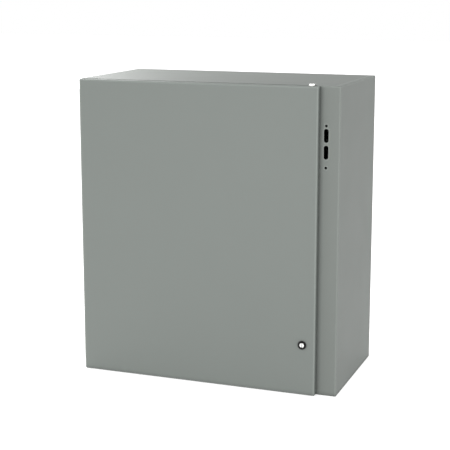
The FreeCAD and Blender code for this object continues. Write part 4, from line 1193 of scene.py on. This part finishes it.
def makeController(look):
    low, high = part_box("controller_case")
    screenLow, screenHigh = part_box("controller_screen")
    front = low.y
    wide, tall = screenHigh.x - screenLow.x, screenHigh.z - screenLow.z
    edge = look["bezelWide"]
    trim = bmesh.new()
    at = Vector(((screenLow.x + screenHigh.x) / 2, front, (screenLow.z + screenHigh.z) / 2))
    outer = roundedRectangle(wide + 2 * edge, tall + 2 * edge, 0.0035, 5)
    crest = roundedRectangle(wide + edge, tall + edge, 0.0025, 5)
    inner = roundedRectangle(wide - 0.0005, tall - 0.0005, 0.0010, 5)
    stack(trim, at, facingDoor, [(outer, 0), (outer, look["bezelProud"] * 0.6),
                                 (crest, look["bezelProud"]), (inner, look["bezelProud"] * 0.4),
                                 (inner, 0)], hollow=True)
    buttons = ("test_button", "transfer_button", "reset_button")
    for button in buttons:
        spot = middleOf(button)
        spot.y = front
        inside, thick = look["ringInside"], look["ringWide"]
        stack(trim, spot, facingDoor, [
            (circle(inside, 40), 0), (circle(inside + thick * 1.3, 40), 0),
            (circle(inside + thick, 40), look["ringProud"]),
            (circle(inside, 40), look["ringProud"])], hollow=True)
    lampLow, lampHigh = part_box("status_lamps")
    lampUp = (lampLow.z + lampHigh.z) / 2
    reach = (lampHigh.x - lampLow.x) / 2 - look["lampRadius"]
    lampRow = [(low.x + high.x) / 2 + reach * step for step in (-1, -1 / 3, 1 / 3, 1)]
    hole, crest, foot = (circle(radius, 32) for radius in look["lampRing"])
    proud = look["lampRingProud"]
    for x in lampRow:
        stack(trim, Vector((x, front, lampUp)), facingDoor,
              [(hole, 0), (foot, 0), (crest, proud), (hole, proud)], hollow=True)
    makePiece("controllerTrim", trim, "black_moulding", "enclosure")
    plates = bmesh.new()
    spots = [(x, lampUp, look["lampPlate"]) for x in lampRow]
    spots += [(middleOf(button).x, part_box(button)[0].z, look["buttonPlate"]) for button in buttons]
    for x, above, size in spots:
        plate = roundedRectangle(size["wide"], size["tall"], 0.001, 3)
        stack(plates, Vector((x, front, above - size["below"])), facingDoor,
              [(plate, 0), (plate, look["plateThick"])])
    makePiece("legendPlates", plates, "panel_paint", "enclosure")
    screws = bmesh.new()
    inset = look["screwInset"]
    for number, (x, z) in enumerate((x, z) for x in (low.x + inset, high.x - inset)
                                    for z in (low.z + inset, high.z - inset)):
        slottedHead(screws, Vector((x, front, z)), facingDoor, look["screwRadius"],
                    look["screwHigh"], 0.4 + number * 0.9)
    makePiece("coverScrews", screws, "zinc_plate", "enclosure")
    ribs = bmesh.new()
    for side, axes in ((low.x, facingLeft), (high.x, facingRight)):
        for n in range(look["ribCount"]):
            up = low.z + look["firstRibUp"] + n * look["ribPitch"]
            stack(ribs, Vector((side, (low.y + high.y) / 2, up)), axes, [
                (roundedRectangle(0.034, 0.0030, 0.0014, 4), 0),
                (roundedRectangle(0.033, 0.0020, 0.0009, 4), look["ribHigh"])])
    makePiece("caseRibs", ribs, "case_grey", "enclosure")


makeController(controllerLook)
print("controller trimmed")


# relays: a small copper coil and an iron yoke seen through each cover

relayLook = {
    "coverWide": 0.024,
    "coilRadius": 0.0072,
    "coilLong": 0.024,
    "wireBulge": 0.0004,
    "turns": 18,
    "coreRadius": 0.002,
    "yokeThick": 0.0022,
    "yokeEnd": (0.015, 0.026),  # the plates over and under the coil
    "yokeBackWide": 0.012,
}


def makeRelays(look):
    low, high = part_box("relay_covers")
    half = look["coverWide"] / 2
    coils, yokes = bmesh.new(), bmesh.new()
    for step in (-1, 0, 1):
        x = (low.x + high.x) / 2 + step * ((high.x - low.x) / 2 - half)
        at = Vector((x, high.y - 0.014, low.z + 0.008))
        core = circle(look["coreRadius"], 28)
        layers = [(core, 0)]
        for row in range(look["turns"] * 4 + 1):
            level = look["coilLong"] * row / (look["turns"] * 4)
            dip = look["wireBulge"] * (1 - abs(math.sin(math.pi * row / 4)))
            layers.append((circle(look["coilRadius"] - dip, 28), level))
        layers.append((core, look["coilLong"]))
        stack(coils, at, standingUp, layers, hollow=True)
        thick = look["yokeThick"]
        end = roundedRectangle(*look["yokeEnd"], 0.001, 3)
        for level in (-thick, look["coilLong"]):
            stack(yokes, at + Vector((0, -0.004, 0)), standingUp,
                  [(end, level), (end, level + thick)])
        back = roundedRectangle(look["yokeBackWide"], look["coilLong"] + thick * 2, 0.001, 3)
        stack(yokes, at + Vector((0, -0.0165, look["coilLong"] / 2)), facingDoor,
              [(back, -thick / 2), (back, thick / 2)])
    makePiece("relayCoils", coils, "copper_bar", "enclosure", 60)
    makePiece("relayYokes", yokes, "zinc_plate", "enclosure")


makeRelays(relayLook)


# spot welds along the hinge leaves, and a bonding stud on the door and on the cabinet

weldLook = {
    "spotRadius": 0.0026,
    "spotHigh": 0.00035,
    "every": 0.050,
    "firstUp": 0.025,
    "topGap": 0.01,
    "leafThick": 0.0012,
    "doorProud": 0.020,  # the door's face ahead of the body's
    "doorLeafIn": 0.0055,
    "bodyLeafIn": 0.005,
}


def makeHingeSpots(look):
    low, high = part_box("hinge_door_leaf")
    doorSpots, bodySpots = bmesh.new(), bmesh.new()
    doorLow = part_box("door_pan")[0]
    doorSide = doorLow.x - look["leafThick"]
    bodyFront = doorLow.y + look["doorProud"] - look["leafThick"]
    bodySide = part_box("hinge_body_leaf")[1].x - look["bodyLeafIn"]
    count = int((high.z - low.z) / look["every"])
    for n in range(count + 1):
        z = low.z + look["firstUp"] + n * look["every"]
        if z > high.z - look["topGap"]:
            continue
        radius, rise = look["spotRadius"], look["spotHigh"]
        dome = [(circle(radius, 20), 0), (circle(radius * 0.8, 20), rise * 0.7),
                (circle(radius * 0.4, 20), rise)]
        stack(doorSpots, Vector((doorSide, low.y + look["doorLeafIn"], z)), facingLeft, dome)
        stack(bodySpots, Vector((bodySide, bodyFront, z)), facingDoor, dome)
    makePiece("doorLeafSpots", doorSpots, "door_paint", "door")
    makePiece("bodyLeafSpots", bodySpots, "enclosure_paint", "enclosure")


studLook = {
    "radius": 0.004,
    "long": 0.020,
    "threads": 12,
    "flats": 0.013,
    "nutHigh": 0.006,
    "nutLevels": (0.004, 0.0108),
    "onDoor": Vector((0.075, 0.002, 0.065)),  # from the door's lowest corner
    "inCabinet": Vector((0.002, 0.0881, 0.075)),  # from the left wall's lowest corner
}


def bondingStud(bm, at, axes, look):
    radius = look["radius"]
    layers = [(circle(radius * 1.7, 36), 0), (circle(radius * 1.3, 36), 0.0012)]
    pitch = (look["long"] - 0.003) / look["threads"]
    for n in range(look["threads"]):
        level = 0.0014 + pitch * n
        layers += [(circle(radius * 0.88, 36), level), (circle(radius, 36), level + pitch / 2)]
    layers.append((circle(radius * 0.7, 36), look["long"]))
    stack(bm, at, axes, layers)
    outer, flats = sixSided(look["flats"]), look["flats"]
    for level in look["nutLevels"]:
        stack(bm, at, axes, [
            (circle(radius * 0.9, 36), level), (circle(flats * 0.48, 36), level),
            (outer, level + 0.0007), (outer, level + look["nutHigh"] - 0.0007),
            (circle(flats * 0.48, 36), level + look["nutHigh"]),
            (circle(radius * 0.9, 36), level + look["nutHigh"])], hollow=True)


def makeStuds(look):
    door, cabinet = bmesh.new(), bmesh.new()
    bondingStud(door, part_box("door_pan")[0] + look["onDoor"], facingBack, look)
    bondingStud(cabinet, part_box("left_side_wall")[0] + look["inCabinet"], facingRight, look)
    makePiece("doorBondStud", door, "zinc_plate", "door")
    makePiece("cabinetBondStud", cabinet, "zinc_plate", "enclosure")


makeHingeSpots(weldLook)
makeStuds(studLook)
print("spots and studs added")
